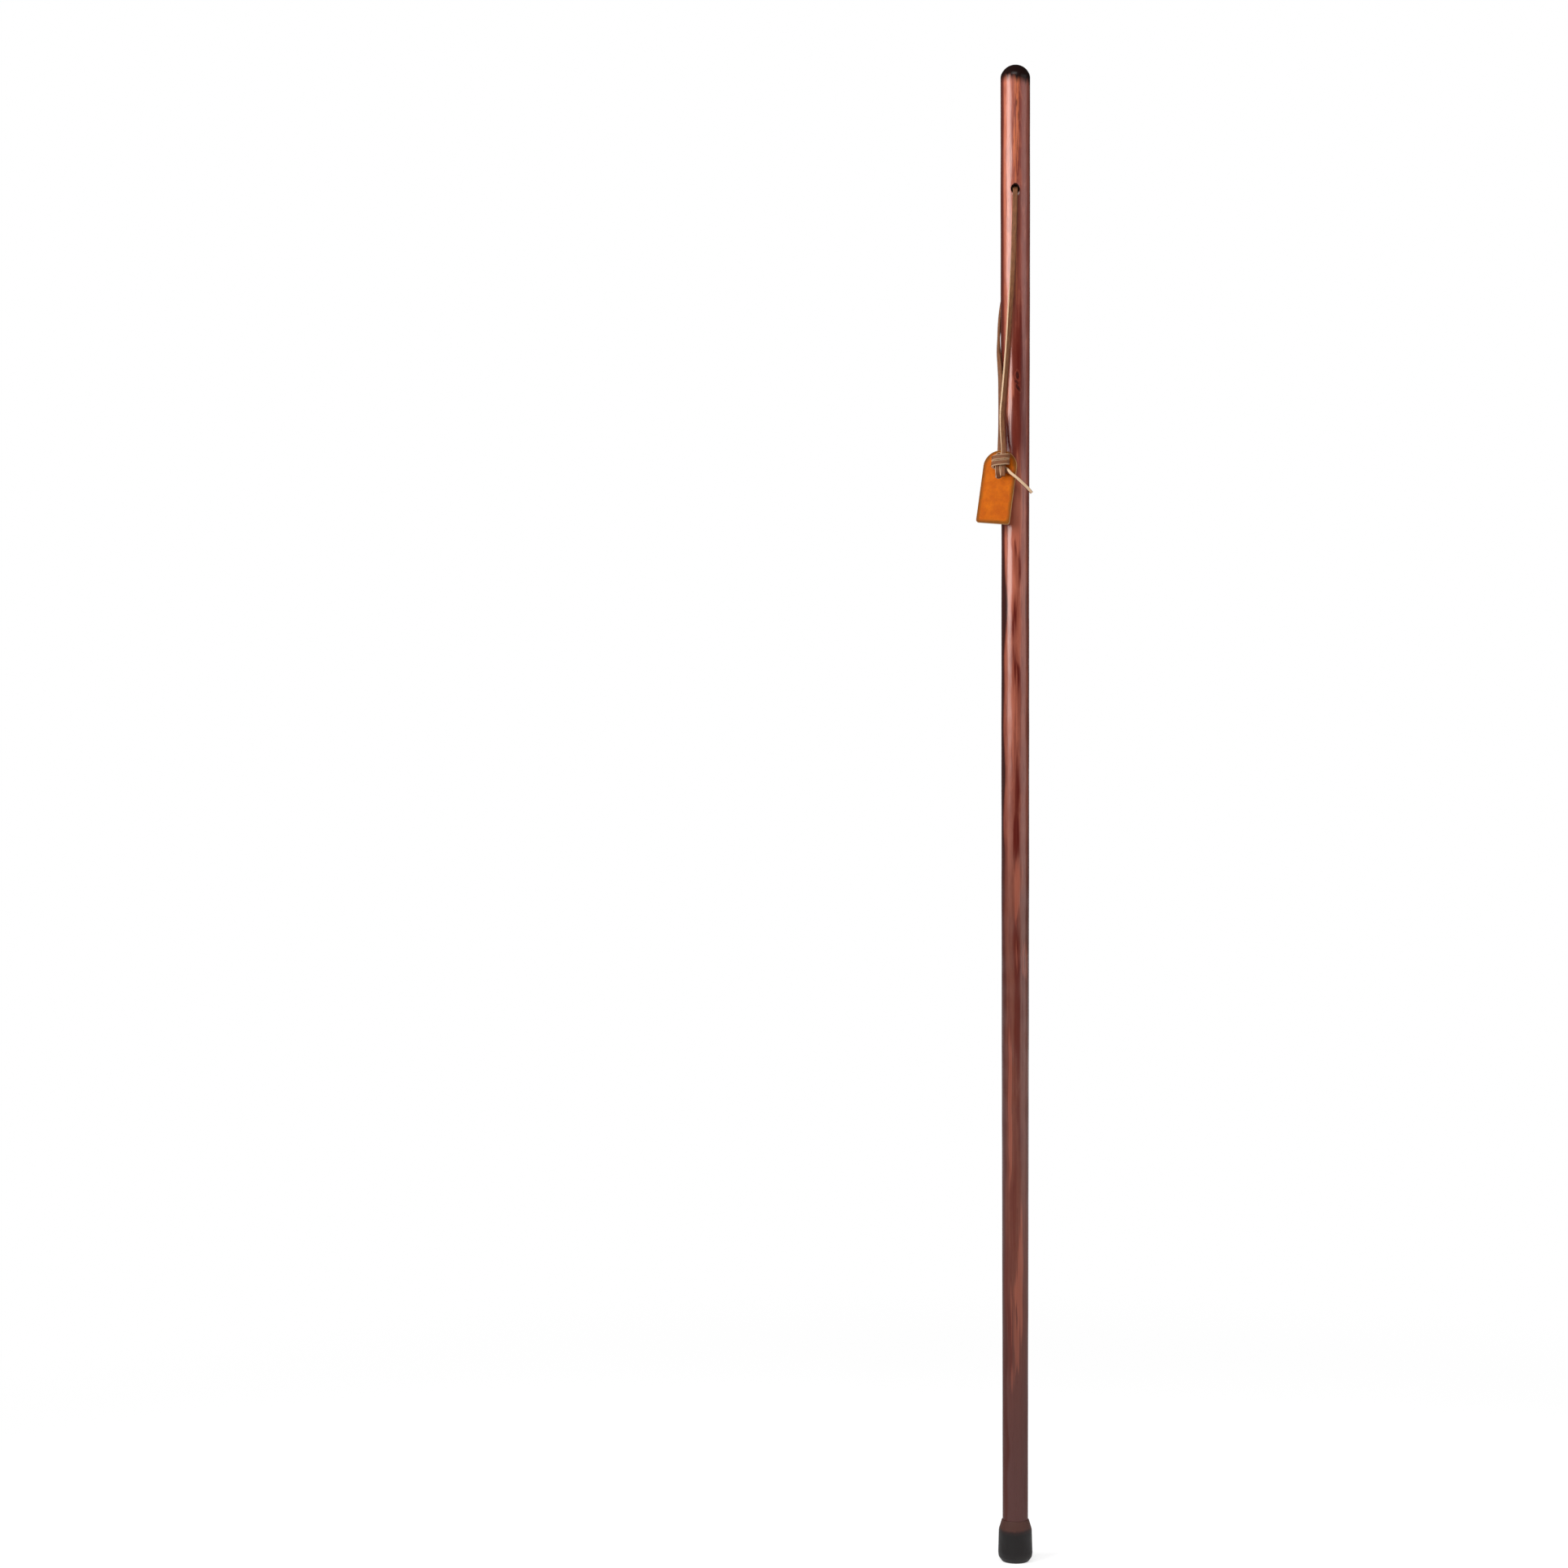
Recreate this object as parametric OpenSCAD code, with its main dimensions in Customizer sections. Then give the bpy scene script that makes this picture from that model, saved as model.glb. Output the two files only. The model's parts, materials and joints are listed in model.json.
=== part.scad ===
// Wooden hiking staff with a rubber ferrule, a leather lace lanyard and a leather tag.
// Z is up along the shaft. The origin is the centre of the ferrule's tread on the floor.
// The front of the staff, where the lanyard hangs, faces -Y. Sizes are in millimetres.

/* [Shaft] */
// Height of the staff from the floor to the top of the crown
staff_h = 1397; // [1250:1:1500]
// Diameter of the even grip at the top
grip_d = 27.6; // [25:0.1:31]
// Length of the even grip, measured from the top
grip_len = 205; // [160:5:260]
// Height of the crown's dome
crown_h = 12.2; // [11:0.1:13.4]
// Radius of the knuckle between the dome and the grip
knuckle_r = 9; // [6:0.1:10]
// Diameter of the waist below the grip
waist_d = 25.9; // [24.5:0.1:28]
// Height of the waist above the floor
waist_z = 950; // [880:5:1010]
// Diameter of the belly below the waist
belly_d = 26.2; // [24.5:0.1:28]
// Height of the belly above the floor
belly_z = 770; // [640:5:860]
// Diameter of the shin, halfway down to the foot
shin_d = 25.4; // [24:0.1:27]
// Height of the shin above the floor
shin_z = 480; // [300:5:600]
// Diameter of the even foot that the ferrule grips
foot_d = 23.7; // [21:0.1:24.5]
// Height where the even foot begins to swell
foot_top = 130; // [60:5:250]
// Bevel round the foot's end
foot_bevel = 1; // [0.4:0.1:2]

/* [Lanyard hole] */
// Depth of the hole's axis below the top of the crown
hole_drop = 118; // [80:1:150]
// Diameter of the hole through the grip
hole_d = 7.8; // [7.2:0.1:10]
// Diameter of the worn mouth at each end of the hole
mouth_d = 9.8; // [8.4:0.1:12]

/* [Ferrule] */
// Height of the rubber ferrule
ferrule_h = 39; // [34:0.5:50]
// Widest diameter, above the heel
ferrule_d = 32; // [30:0.1:36]
// Diameter below the shoulder
collar_d = 30.8; // [28.5:0.1:31.8]
// Height of the sloping shoulder
shoulder_h = 9; // [4:0.5:12]
// Wall of the lip round the shaft
lip_wall = 0.7; // [0.5:0.1:1.5]
// Height of the bevelled heel
heel_h = 6.5; // [3:0.5:9]
// Diameter of the tread on the floor
tread_d = 24.4; // [20:0.2:28]
// Rubber between the tread and the socket
sole_t = 11; // [6:0.5:14]
// Width of each ring groove in the tread
groove_w = 1.5; // [0.8:0.1:2.2]
// Depth of each ring groove in the tread
groove_deep = 1.2; // [0.5:0.1:2.5]
// Running gap between the shaft and the socket, on the radius
socket_gap = 0.05; // [0.02:0.01:0.1]

/* [Ferrule washer] */
// Thickness of the steel washer at the bottom of the socket
washer_t = 1.2; // [0.8:0.1:2]
// Diameter of the washer's centre hole
washer_hole_d = 6; // [3:0.5:10]
// Gap between the washer and the socket wall, on the radius
washer_gap = 0.2; // [0.1:0.05:0.5]
// Gap between the washer and the shaft's foot
foot_gap = 0.3; // [0.1:0.05:0.5]

/* [Lanyard] */
// Width of the flat leather lace
lace_w = 4.4; // [3.8:0.1:4.6]
// Thickness of the lace
lace_t = 2.6; // [2:0.1:2.8]
// Bevel along the lace's cut edges
lace_edge = 0.45; // [0.2:0.05:0.6]
// Gap between the resting lace and the wood
lay_gap = 0.35; // [0.3:0.05:0.6]

/* [Knot] */
// Number of turns in the knot
knot_turns = 2; // [2:1:3]
// Gap from one turn of the knot to the next
turn_gap = 1; // [0.8:0.1:1.6]
// Gap between the two strands inside the turns
strand_gap = 0.6; // [0.4:0.1:1]
// Gap between the strands and the turns around them
wrap_gap = 1.2; // [1.1:0.05:1.6]
// Height of the knot's middle above the hole in the tag
knot_rise = 12; // [11.5:0.5:14]

/* [Tag] */
// Width of the leather tag
tag_w = 31.8; // [28:0.2:36]
// Height of the tag, from its foot to the top of its arch
tag_h = 70; // [55:1:90]
// Thickness of the tag
tag_t = 2.6; // [2:0.1:3.2]
// Radius of the tag's lower corners
tag_corner_r = 2.5; // [1:0.5:6]
// Diameter of the hole that the lace passes through
tag_hole_d = 6.4; // [6:0.1:8]
// Depth of that hole below the top of the arch
tag_hole_drop = 24; // [21:0.5:27]
// Depth of the tag's hole below the lanyard hole
tag_drop = 267; // [262:1:272]
// Offset of the tag's hole to the left of the line where the tag meets the staff
tag_side = 11.5; // [10:0.5:13]
// Gap between the tag and the staff, and between the knot and the tag
tag_gap = 0.55; // [0.45:0.05:0.8]
// Turn of the tag's face towards the left
tag_yaw = 12; // [8:1:16]
// Lean of the tag's foot away from the staff
tag_pitch = 10; // [6:1:14]
// Tilt of the tag's foot towards the left
tag_tilt = 5.5; // [0:0.5:8]

/* [Hidden] */
$fn = 96;

// Shaft: the foot stands on the washer, and the crown's dome is tangent to its knuckle
foot_z = sole_t + washer_t + foot_gap;
grip_r = grip_d / 2;
dome_z = staff_h - crown_h;
dome_r = (pow(grip_r - knuckle_r, 2) + pow(crown_h, 2) - pow(knuckle_r, 2)) / (2 * (crown_h - knuckle_r));
hole_z = staff_h - hole_drop;
mouth_deep = (mouth_d - hole_d) / 2;

// Diameters of the shaft by height, from the foot to the grip
shaft_stations = [
    [foot_top, foot_d],
    [shin_z, shin_d],
    [belly_z, belly_d],
    [waist_z, waist_d],
    [staff_h - grip_len, grip_d],
];
function shaft_r(z) = lookup(z, shaft_stations) / 2;

// Ferrule
socket_r = foot_d / 2 + socket_gap;
heel_round = heel_h * 0.3;
groove_step = tread_d / 6;

// Tag: its frame has its origin at the hole, on the front face
tag_right = [cos(tag_yaw), -sin(tag_yaw), 0];
tag_up = [sin(tag_pitch) * sin(tag_yaw), sin(tag_pitch) * cos(tag_yaw), cos(tag_pitch)];
tag_out = [-cos(tag_pitch) * sin(tag_yaw), -cos(tag_pitch) * cos(tag_yaw), sin(tag_pitch)];
tag_z = hole_z - tag_drop;
arch_r = tag_w / 2;
arch_rise = tag_hole_drop - arch_r;
arch_side = tag_side - arch_rise * sin(tag_tilt);
touch_rise = arch_rise * cos(tag_tilt) + sqrt(pow(arch_r, 2) - pow(arch_side, 2));
tag_reach = shaft_r(tag_z + touch_rise) + tag_gap + tag_t / 2 + touch_rise * sin(tag_pitch);
tag_middle = [
    -tag_reach * sin(tag_yaw) - tag_side * cos(tag_yaw),
    -tag_reach * cos(tag_yaw) + tag_side * sin(tag_yaw),
    tag_z,
];
tag_origin = tag_middle + tag_out * tag_t / 2;

// Knot: two strands side by side at core_v in front of the tag, and the turns around both
strand_u = lace_w + strand_gap;
knot_u = strand_u / 2;
half_u = strand_u / 2 + lace_w / 2 + wrap_gap + lace_t / 2;
half_v = lace_t + wrap_gap;
core_v = tag_gap + lace_t / 2 + half_v;
knot_pitch = lace_w + turn_gap;
turn_step = 15;
turn_start = -90;
turn_end = turn_start + 360 * knot_turns;
turn_top = knot_rise + knot_pitch * (knot_turns + 0.1) / 2;
turn_foot = turn_top - knot_pitch * knot_turns;

// A row of the lace is a point of its middle line and the way its grain side faces.
// staff_row takes degrees round from the front to the left, the lift off the wood, the depth
// below the lanyard hole, and the degrees round that the grain side faces.
// tag_row takes right, out and up in the tag's frame.
function round_left(angle) = [-sin(angle), -cos(angle), 0];
function staff_row(angle, lift, drop, face) =
    let (
        z = hole_z - drop,
        r = shaft_r(z) + lace_t / 2 + lay_gap + lift
    )
    concat(r * round_left(angle) + [0, 0, z], round_left(face));
function tag_row(p, face) =
    concat(
        tag_origin + p.x * tag_right + p.y * tag_out + p.z * tag_up,
        face.x * tag_right + face.y * tag_out + face.z * tag_up
    );
function bore_row(y, rise, face) = concat([0, y, hole_z + rise], face);

front_face = [0.2, 1, 0];
back_face = [0, -1, 0];
up_face = [0, 0, 1];
edge_face = [0.6, 0, 0.8];

// Loose end of the front strand, below the knot, from its tip upwards
short_tail_route = [
    for (w = [-2.5, 1]) tag_row([strand_u, core_v, w], front_face)
];

// Front strand: up through the knot, and along the front of the staff to the hole
front_core_route = [
    for (w = [4, 8, 12, 16, 20, 24]) tag_row([strand_u, core_v, w], front_face)
];
front_staff_route = [
    for (q = [
        [35, 4.8, 235, -8], [40, 3.8, 222, -16], [43, 2.9, 208, -24], [40, 1.9, 192, -30],
        [34, 1.2, 172, -30], [26, 1.1, 146, -28], [19, 0.9, 118, -22], [12, 0.5, 90, -5],
        [7, 0.2, 64, 2], [4, 0.3, 42, 8], [2, 0.6, 25, 8], [1, 1.2, 12, 0],
    ]) staff_row(q[0], q[1], q[2], q[3])
];
front_mouth_route = [
    bore_row(-grip_r - 3.2, -5, [0, -1, 0.2]),
    bore_row(-grip_r - 2.4, -2.2, [0, -1, 1]),
];

// Through the hole from front to back, resting low in it
bore_route = [
    bore_row(-grip_r, -1, up_face),
    bore_row(0, -1, up_face),
];

// Back strand: round the left of the staff, behind the tag and out through its hole
back_mouth_route = [
    bore_row(grip_r, -1, up_face),
    bore_row(grip_r + 2.4, -2.2, [0, 1, 1]),
    bore_row(grip_r + 3.2, -5, [0, 1, 0.2]),
];
back_staff_route = [
    for (q = [
        [180, 1.2, 12, 180], [180, 0.6, 25, 180], [177, 0.2, 42, 177], [170, 0.2, 58, 170],
        [159, 0.2, 74, 159], [144, 0.2, 90, 144], [127, 0.2, 106, 127], [111, 0.2, 122, 109],
        [96, 0.3, 137, 88], [79, 0.5, 150, 62], [65, 0.7, 163, 38], [59, 0.8, 177, 26],
        [57, 1, 192, 20], [56, 1.2, 208, 18], [57, 1.3, 225, 20], [60, 1.4, 240, 24], [60, 2, 252, 20],
    ]) staff_row(q[0], q[1], q[2], q[3])
];
riser_route = [
    tag_row([-0.6, -tag_t - 4.6, 5], [0, 1, 0.2]),
    tag_row([0, -tag_t - 3.6, 1], [0, 1, 1]),
    tag_row([0, -tag_t - 0.8, 0], up_face),
    tag_row([0, 0.4, 0], up_face),
    tag_row([0, core_v - 2.6, 0.9], [0, -0.4, 1]),
    tag_row([0, core_v - 0.8, 3], [0, -1, 0.5]),
];

// Turns of the knot: straight up, over to the right behind the front strand, and round both
turn_in_route = [
    for (q = [[0, 0, -5.5], [0, 0, -2], [0, 0, 1.6], [-0.3, -0.6, 4.4], [0, -2, 6.4], [1, -3.4, 6.6]])
        tag_row([q.x, core_v + q.y, knot_rise + q.z], back_face)
];
function bulge(s, power) = sign(s) * pow(abs(s), power);
turn_rows = [
    for (a = [turn_start : turn_step : turn_end])
        tag_row(
            [
                knot_u + half_u * bulge(cos(a), 2 / 3),
                core_v + half_v * bulge(sin(a), 2 / 3),
                turn_top - knot_pitch * (a - turn_start) / 360,
            ],
            [bulge(cos(a), 4 / 3) / half_u, bulge(sin(a), 4 / 3) / half_v, 0]
        )
];

// Long loose end, on across the tag and the front of the staff to the right
long_tail_route = [
    for (q = [
        [5.6, 1.9, -1.6, back_face], [9, 2.6, -3.8, [0.4, -0.6, 0.6]], [12.5, 3.2, -6.4, edge_face],
        [16, 3.4, -9.2, edge_face], [20, 2.6, -12.6, edge_face], [24, 0.8, -16.2, edge_face],
        [28, -1.8, -20, edge_face], [31, -4, -23.4, edge_face],
    ]) tag_row([q[0], q[1], turn_foot + q[2]], q[3])
];

// A curve through every row, with a number of steps from each row to the next
function blend(a, b, c, d, t) =
    (2 * b + (c - a) * t + (2 * a - 5 * b + 4 * c - d) * t * t + (3 * b - a - 3 * c + d) * t * t * t) / 2;
function smooth(rows, steps) = [
    for (i = [0 : len(rows) - 2], k = [0 : steps - 1])
        blend(rows[max(i - 1, 0)], rows[i], rows[i + 1], rows[min(i + 2, len(rows) - 1)], k / steps),
    rows[len(rows) - 1],
];
run_steps = 2;
run_route = concat(
    short_tail_route, front_core_route, front_staff_route, front_mouth_route, bore_route,
    back_mouth_route, back_staff_route, riser_route, turn_in_route
);
run_rows = smooth(run_route, run_steps);
tail_rows = smooth(long_tail_route, run_steps);
lace_rows = concat(run_rows, turn_rows, tail_rows);

// First ring of each stretch: each ends where the next begins
front_first = run_steps * len(short_tail_route);
front_rows = len(front_core_route) + len(front_staff_route) + len(front_mouth_route);
bore_first = front_first + run_steps * front_rows;
back_first = bore_first + run_steps * len(bore_route);
back_rows = len(back_mouth_route) + len(back_staff_route) + len(riser_route);
knot_first = back_first + run_steps * back_rows;
turn_first = len(run_rows);
tail_first = turn_first + len(turn_rows);
lace_last = len(lace_rows) - 1;

// Flat section of the lace with bevelled edges, across and outwards
lace_section = [
    [lace_w / 2 - lace_edge, lace_t / 2], [lace_w / 2, lace_t / 2 - lace_edge],
    [lace_w / 2, lace_edge - lace_t / 2], [lace_w / 2 - lace_edge, -lace_t / 2],
    [lace_edge - lace_w / 2, -lace_t / 2], [-lace_w / 2, lace_edge - lace_t / 2],
    [-lace_w / 2, lace_t / 2 - lace_edge], [lace_edge - lace_w / 2, lace_t / 2],
];
sides = len(lace_section);
function unit(v) = v / norm(v);
function middle(i) = [lace_rows[i][0], lace_rows[i][1], lace_rows[i][2]];
function faced(i) = [lace_rows[i][3], lace_rows[i][4], lace_rows[i][5]];
function lace_ring(i) =
    let (
        along = unit(middle(min(i + 1, lace_last)) - middle(max(i - 1, 0))),
        out = unit(faced(i) - (faced(i) * along) * along),
        across = cross(along, out)
    )
    [for (q = lace_section) middle(i) + q.x * across + q.y * out];
lace_rings = [for (i = [0 : lace_last]) lace_ring(i)];

// Least gap from one turn of the knot to another, between the corners of their rings
gap_reach = 270 / turn_step;
turn_gaps = [
    for (i = [turn_first : tail_first - 1], j = [i + gap_reach : 1 : tail_first - 1])
        for (p = lace_rings[i], q = lace_rings[j]) norm(p - q)
];
echo("least gap between the turns of the knot", min(turn_gaps));

// A closed stretch of lace from one ring to another
module lace_stretch(first, last) {
    n = last - first;
    points = [for (i = [first : last]) each lace_rings[i]];
    caps = [
        for (k = [1 : sides - 2]) each [[0, k, k + 1], [n * sides, n * sides + k + 1, n * sides + k]]
    ];
    walls = [
        for (i = [0 : n - 1], k = [0 : sides - 1])
            let (a = i * sides + k, b = i * sides + (k + 1) % sides)
            each [[a, a + sides, b + sides], [a, b + sides, b]]
    ];
    polyhedron(points, concat(caps, walls));
}

// Half profile of the crown: a dome that a knuckle blends into the grip
module crown_profile() {
    away = [grip_r - knuckle_r, dome_r - crown_h];
    intersection() {
        translate([0, crown_h - dome_r]) circle(dome_r);
        translate([0, crown_h - dome_r]) polygon([[0, 0], 4 * away, [0, 4 * crown_h]]);
    }
    intersection() {
        translate([grip_r - knuckle_r, 0]) circle(knuckle_r);
        square([grip_r + 1, crown_h]);
    }
}

// One-piece turned wooden shaft, drilled for the lanyard
module shaft() {
    color("#9c5a45")
        difference() {
            rotate_extrude() {
                polygon(concat(
                    [[0, foot_z], [foot_d / 2 - foot_bevel, foot_z], [foot_d / 2, foot_z + foot_bevel]],
                    [for (s = shaft_stations) [s[1] / 2, s[0]]],
                    [[grip_r, dome_z], [0, dome_z]]
                ));
                translate([0, dome_z]) crown_profile();
            }
            translate([0, 0, hole_z])
                rotate([90, 0, 0])
                    cylinder(h = 2 * grip_d, d = hole_d, center = true);
            for (side = [-90, 90])
                translate([0, 0, hole_z])
                    rotate([side, 0, 0])
                        translate([0, 0, grip_r - mouth_deep])
                            cylinder(h = 2 * mouth_deep, d1 = hole_d, d2 = hole_d + 4 * mouth_deep);
        }
}

// Push-on rubber ferrule with a blind socket and ring grooves in its tread
module ferrule() {
    color("#2d2a2a")
        rotate_extrude()
            difference() {
                polygon([
                    [0, 0],
                    [tread_d / 2, 0],
                    [ferrule_d / 2 - heel_round / 4, heel_h - heel_round],
                    [ferrule_d / 2, heel_h + heel_round],
                    [collar_d / 2, ferrule_h - shoulder_h],
                    [socket_r + lip_wall, ferrule_h],
                    [0, ferrule_h],
                ]);
                translate([0, sole_t]) square([socket_r, ferrule_h]);
                for (k = [1, 2])
                    translate([k * groove_step, -1]) square([groove_w, groove_deep + 1]);
            }
}

// Steel washer that keeps the shaft from punching through the rubber
module ferrule_washer() {
    color("#b4b6b8")
        translate([0, 0, sole_t])
            difference() {
                cylinder(h = washer_t, r = socket_r - washer_gap);
                translate([0, 0, -1]) cylinder(h = washer_t + 2, d = washer_hole_d);
            }
}

module lanyard_short_tail() {
    color("#82553a") lace_stretch(0, front_first);
}

module lanyard_front_run() {
    color("#82553a") lace_stretch(front_first, bore_first);
}

module lanyard_bore_run() {
    color("#7a5038") lace_stretch(bore_first, back_first);
}

module lanyard_back_run() {
    color("#7a5038") lace_stretch(back_first, knot_first);
}

module lanyard_knot() {
    color("#8a5c3e") lace_stretch(knot_first, tail_first);
}

module lanyard_long_tail() {
    color("#c79c78") lace_stretch(tail_first, lace_last);
}

// Outline of the tag round its hole: an arched top and rounded lower corners
module tag_outline() {
    foot = tag_h - tag_hole_drop;
    translate([0, arch_rise]) circle(arch_r);
    translate([-arch_r, tag_corner_r - foot]) square([tag_w, foot + arch_rise - tag_corner_r]);
    translate([tag_corner_r - arch_r, -foot]) square([tag_w - 2 * tag_corner_r, 2 * tag_corner_r]);
    for (side = [-1, 1])
        translate([side * (arch_r - tag_corner_r), tag_corner_r - foot]) circle(tag_corner_r);
}

// Leather tag that hangs on the back strand by its hole
module tag() {
    color("#d9690f")
        translate(tag_middle)
            rotate([-tag_pitch, 0, -tag_yaw])
                rotate([90, tag_tilt, 0])
                    difference() {
                        linear_extrude(tag_t, center = true) tag_outline();
                        cylinder(h = 2 * tag_t, d = tag_hole_d, center = true);
                    }
}

shaft();
ferrule();
ferrule_washer();
lanyard_short_tail();
lanyard_front_run();
lanyard_bore_run();
lanyard_back_run();
lanyard_knot();
lanyard_long_tail();
tag();
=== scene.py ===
# %% [markdown]
# # A wooden hiking staff
# The staff is one turned and varnished piece of wood with a dark crown. It stands on a rubber
# ferrule, and a flat leather lace hangs from a hole in its grip, knotted through a leather tag.
# The solids of the part are already in place when this lesson starts. Each step below gives one
# piece its final mesh or its finish, in the same frame: metres, Z up, front towards -Y.

# %% The frame
import json
import math

import bmesh
import bpy
from mathutils import Matrix, Vector, noise


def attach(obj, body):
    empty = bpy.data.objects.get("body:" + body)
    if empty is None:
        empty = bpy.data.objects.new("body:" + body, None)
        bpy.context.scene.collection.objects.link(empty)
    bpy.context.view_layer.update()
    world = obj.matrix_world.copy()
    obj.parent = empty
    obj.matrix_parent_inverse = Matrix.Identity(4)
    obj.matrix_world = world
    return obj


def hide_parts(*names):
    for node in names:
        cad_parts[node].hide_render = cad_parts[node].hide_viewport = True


MM = 0.001
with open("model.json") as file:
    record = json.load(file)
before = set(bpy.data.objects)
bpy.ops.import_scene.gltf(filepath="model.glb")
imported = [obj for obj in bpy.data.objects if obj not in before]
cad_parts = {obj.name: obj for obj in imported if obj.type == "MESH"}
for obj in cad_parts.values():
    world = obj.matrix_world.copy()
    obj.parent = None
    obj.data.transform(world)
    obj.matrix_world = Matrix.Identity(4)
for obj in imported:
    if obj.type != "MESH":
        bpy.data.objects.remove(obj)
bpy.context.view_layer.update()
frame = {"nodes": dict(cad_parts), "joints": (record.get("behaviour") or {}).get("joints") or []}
print("solids:", sorted(frame["nodes"]))

# %% [markdown]
# ## The camera
# A long thin object is best seen from far away with a long lens, so that its two ends keep
# nearly the same scale. The eye is level, at about the middle of the staff, so the staff stays
# upright in the picture. The camera turns a little to the left, which puts the staff to the
# right of the middle without any shift of the lens.

# %% The camera
PHOTO_PX = 1932
STAFF_COLUMN_PX = 1251
FRAME_WIDTH = 1.4645
EYE_HEIGHT = 0.7254
EYE_DEPTH = 2.9
SENSOR_MM = 36

staff_offset = (STAFF_COLUMN_PX / PHOTO_PX - 0.5) * FRAME_WIDTH
eye_lens = bpy.data.cameras.new("eye")
eye_lens.sensor_width = SENSOR_MM
eye_lens.lens = SENSOR_MM * EYE_DEPTH / FRAME_WIDTH
eye = bpy.data.objects.new("eye", eye_lens)
eye.location = (0, -math.hypot(EYE_DEPTH, staff_offset), EYE_HEIGHT)
eye.rotation_euler = (math.radians(90), 0, math.atan2(staff_offset, EYE_DEPTH))
bpy.context.scene.collection.objects.link(eye)
bpy.context.scene.camera = eye
turned_left = math.degrees(eye.rotation_euler.z)
print("lens", round(eye_lens.lens, 1), "mm, turned", round(turned_left, 2), "degrees")

# %% [markdown]
# ## Where the lace runs
# The lanyard is one flat thong. It goes through the hole in the grip, down both sides of the
# staff, and its two strands are bound together by a knot on the tag. A route is a list of rows,
# and a row is a point of the thong's middle line with the way that its grain side faces.
# The rows are the same as those of the solids, in millimetres, and a curve is drawn through them.

# %% Sizes of the staff, the lace and the tag, in millimetres
GRIP_R = 13.8
HOLE_Z = 1279
SHAFT_STATIONS = [(130, 23.7), (480, 25.4), (770, 26.2), (950, 25.9), (1192, 27.6)]
LACE_W = 4.4
LACE_T = 2.6
LAY_GAP = 0.35
STRAND_GAP = 0.6
WRAP_GAP = 1.2
TURN_GAP = 1
KNOT_TURNS = 2
KNOT_RISE = 12
TAG_T = 2.6
TAG_GAP = 0.55
TWIST_REACH = 8


def shaft_radius(height):
    """Radius of the wood at a height, straight from station to station."""
    low, high = SHAFT_STATIONS[0], SHAFT_STATIONS[-1]
    if height <= low[0]:
        return low[1] / 2
    for low, high in zip(SHAFT_STATIONS, SHAFT_STATIONS[1:]):
        if height <= high[0]:
            share = (height - low[0]) / (high[0] - low[0])
            return (low[1] + (high[1] - low[1]) * share) / 2
    return high[1] / 2


tag_hinge = next(j for j in frame["joints"] if j["name"] == "tag_swing")
tag_middle = Vector(tag_hinge["pos_m"]) / MM
tag_out = -Vector(tag_hinge["axis"]).normalized()
tag_right = Vector((0, 0, 1)).cross(tag_out).normalized()
tag_up = tag_out.cross(tag_right)
tag_origin = tag_middle + tag_out * TAG_T / 2
print("tag hangs at", [round(c, 2) for c in tag_middle], "facing", [round(c, 3) for c in tag_out])

# %% Rows of the lace
FRONT = (0.2, 1, 0)
BACK = (0, -1, 0)
UP = (0, 0, 1)
SIDE = (1, 0, 0)
EDGE = (0.6, 0, 0.8)


def round_left(angle):
    """A level direction, in degrees round from the front to the left."""
    turn = math.radians(angle)
    return Vector((-math.sin(turn), -math.cos(turn), 0))


def staff_row(angle, lift, drop, face):
    """A row beside the staff: round it, off the wood, below the hole, and where the grain faces."""
    height = HOLE_Z - drop
    reach = shaft_radius(height) + LACE_T / 2 + LAY_GAP + lift
    return round_left(angle) * reach + Vector((0, 0, height)), round_left(face)


def tag_row(right, out, up, face):
    """A row at the tag, measured from its hole: to the right, off its face and upwards."""
    point = tag_origin + right * tag_right + out * tag_out + up * tag_up
    return point, face[0] * tag_right + face[1] * tag_out + face[2] * tag_up


def bore_row(depth, rise, face):
    """A row in the hole through the grip."""
    return Vector((0, depth, HOLE_Z + rise)), Vector(face)


def mouth_rows(side):
    """From the middle of the bore out of a mouth and down: side is -1 at the front, 1 at the back."""
    return [
        bore_row(0, 0, SIDE),
        bore_row(side * TWIST_REACH, 0, UP),
        bore_row(side * GRIP_R, -1, UP),
        bore_row(side * (GRIP_R + 2.4), -2.2, (0, side, 1)),
        bore_row(side * (GRIP_R + 3.2), -5, (0, side, 0.2)),
    ]


strand_u = LACE_W + STRAND_GAP
half_u = strand_u / 2 + LACE_W / 2 + WRAP_GAP + LACE_T / 2
half_v = LACE_T + WRAP_GAP
core_v = TAG_GAP + LACE_T / 2 + half_v
knot_pitch = LACE_W + TURN_GAP
turn_top = KNOT_RISE + knot_pitch * (KNOT_TURNS + 0.1) / 2
turn_foot = turn_top - knot_pitch * KNOT_TURNS
print("the knot is", round(turn_top - turn_foot, 1), "mm tall")

# %% The front strand: out of the hole, down the front, through the knot to its short end
front_rows = mouth_rows(-1)
for angle, lift, drop, face in [
    (1, 1.2, 12, 0), (2, 0.6, 25, 8), (4, 0.3, 42, 8), (7, 0.2, 64, 2), (12, 0.5, 90, -5),
    (19, 0.9, 118, -22), (26, 1.1, 146, -28), (34, 1.2, 172, -30), (40, 1.9, 192, -30),
    (43, 2.9, 208, -24), (40, 3.8, 222, -16), (35, 4.8, 235, -8),
]:
    front_rows.append(staff_row(angle, lift, drop, face))
for up in (24, 20, 16, 12, 8, 4, 1, -2.5):
    front_rows.append(tag_row(strand_u, core_v, up, FRONT))
print("front strand:", len(front_rows), "rows")

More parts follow.
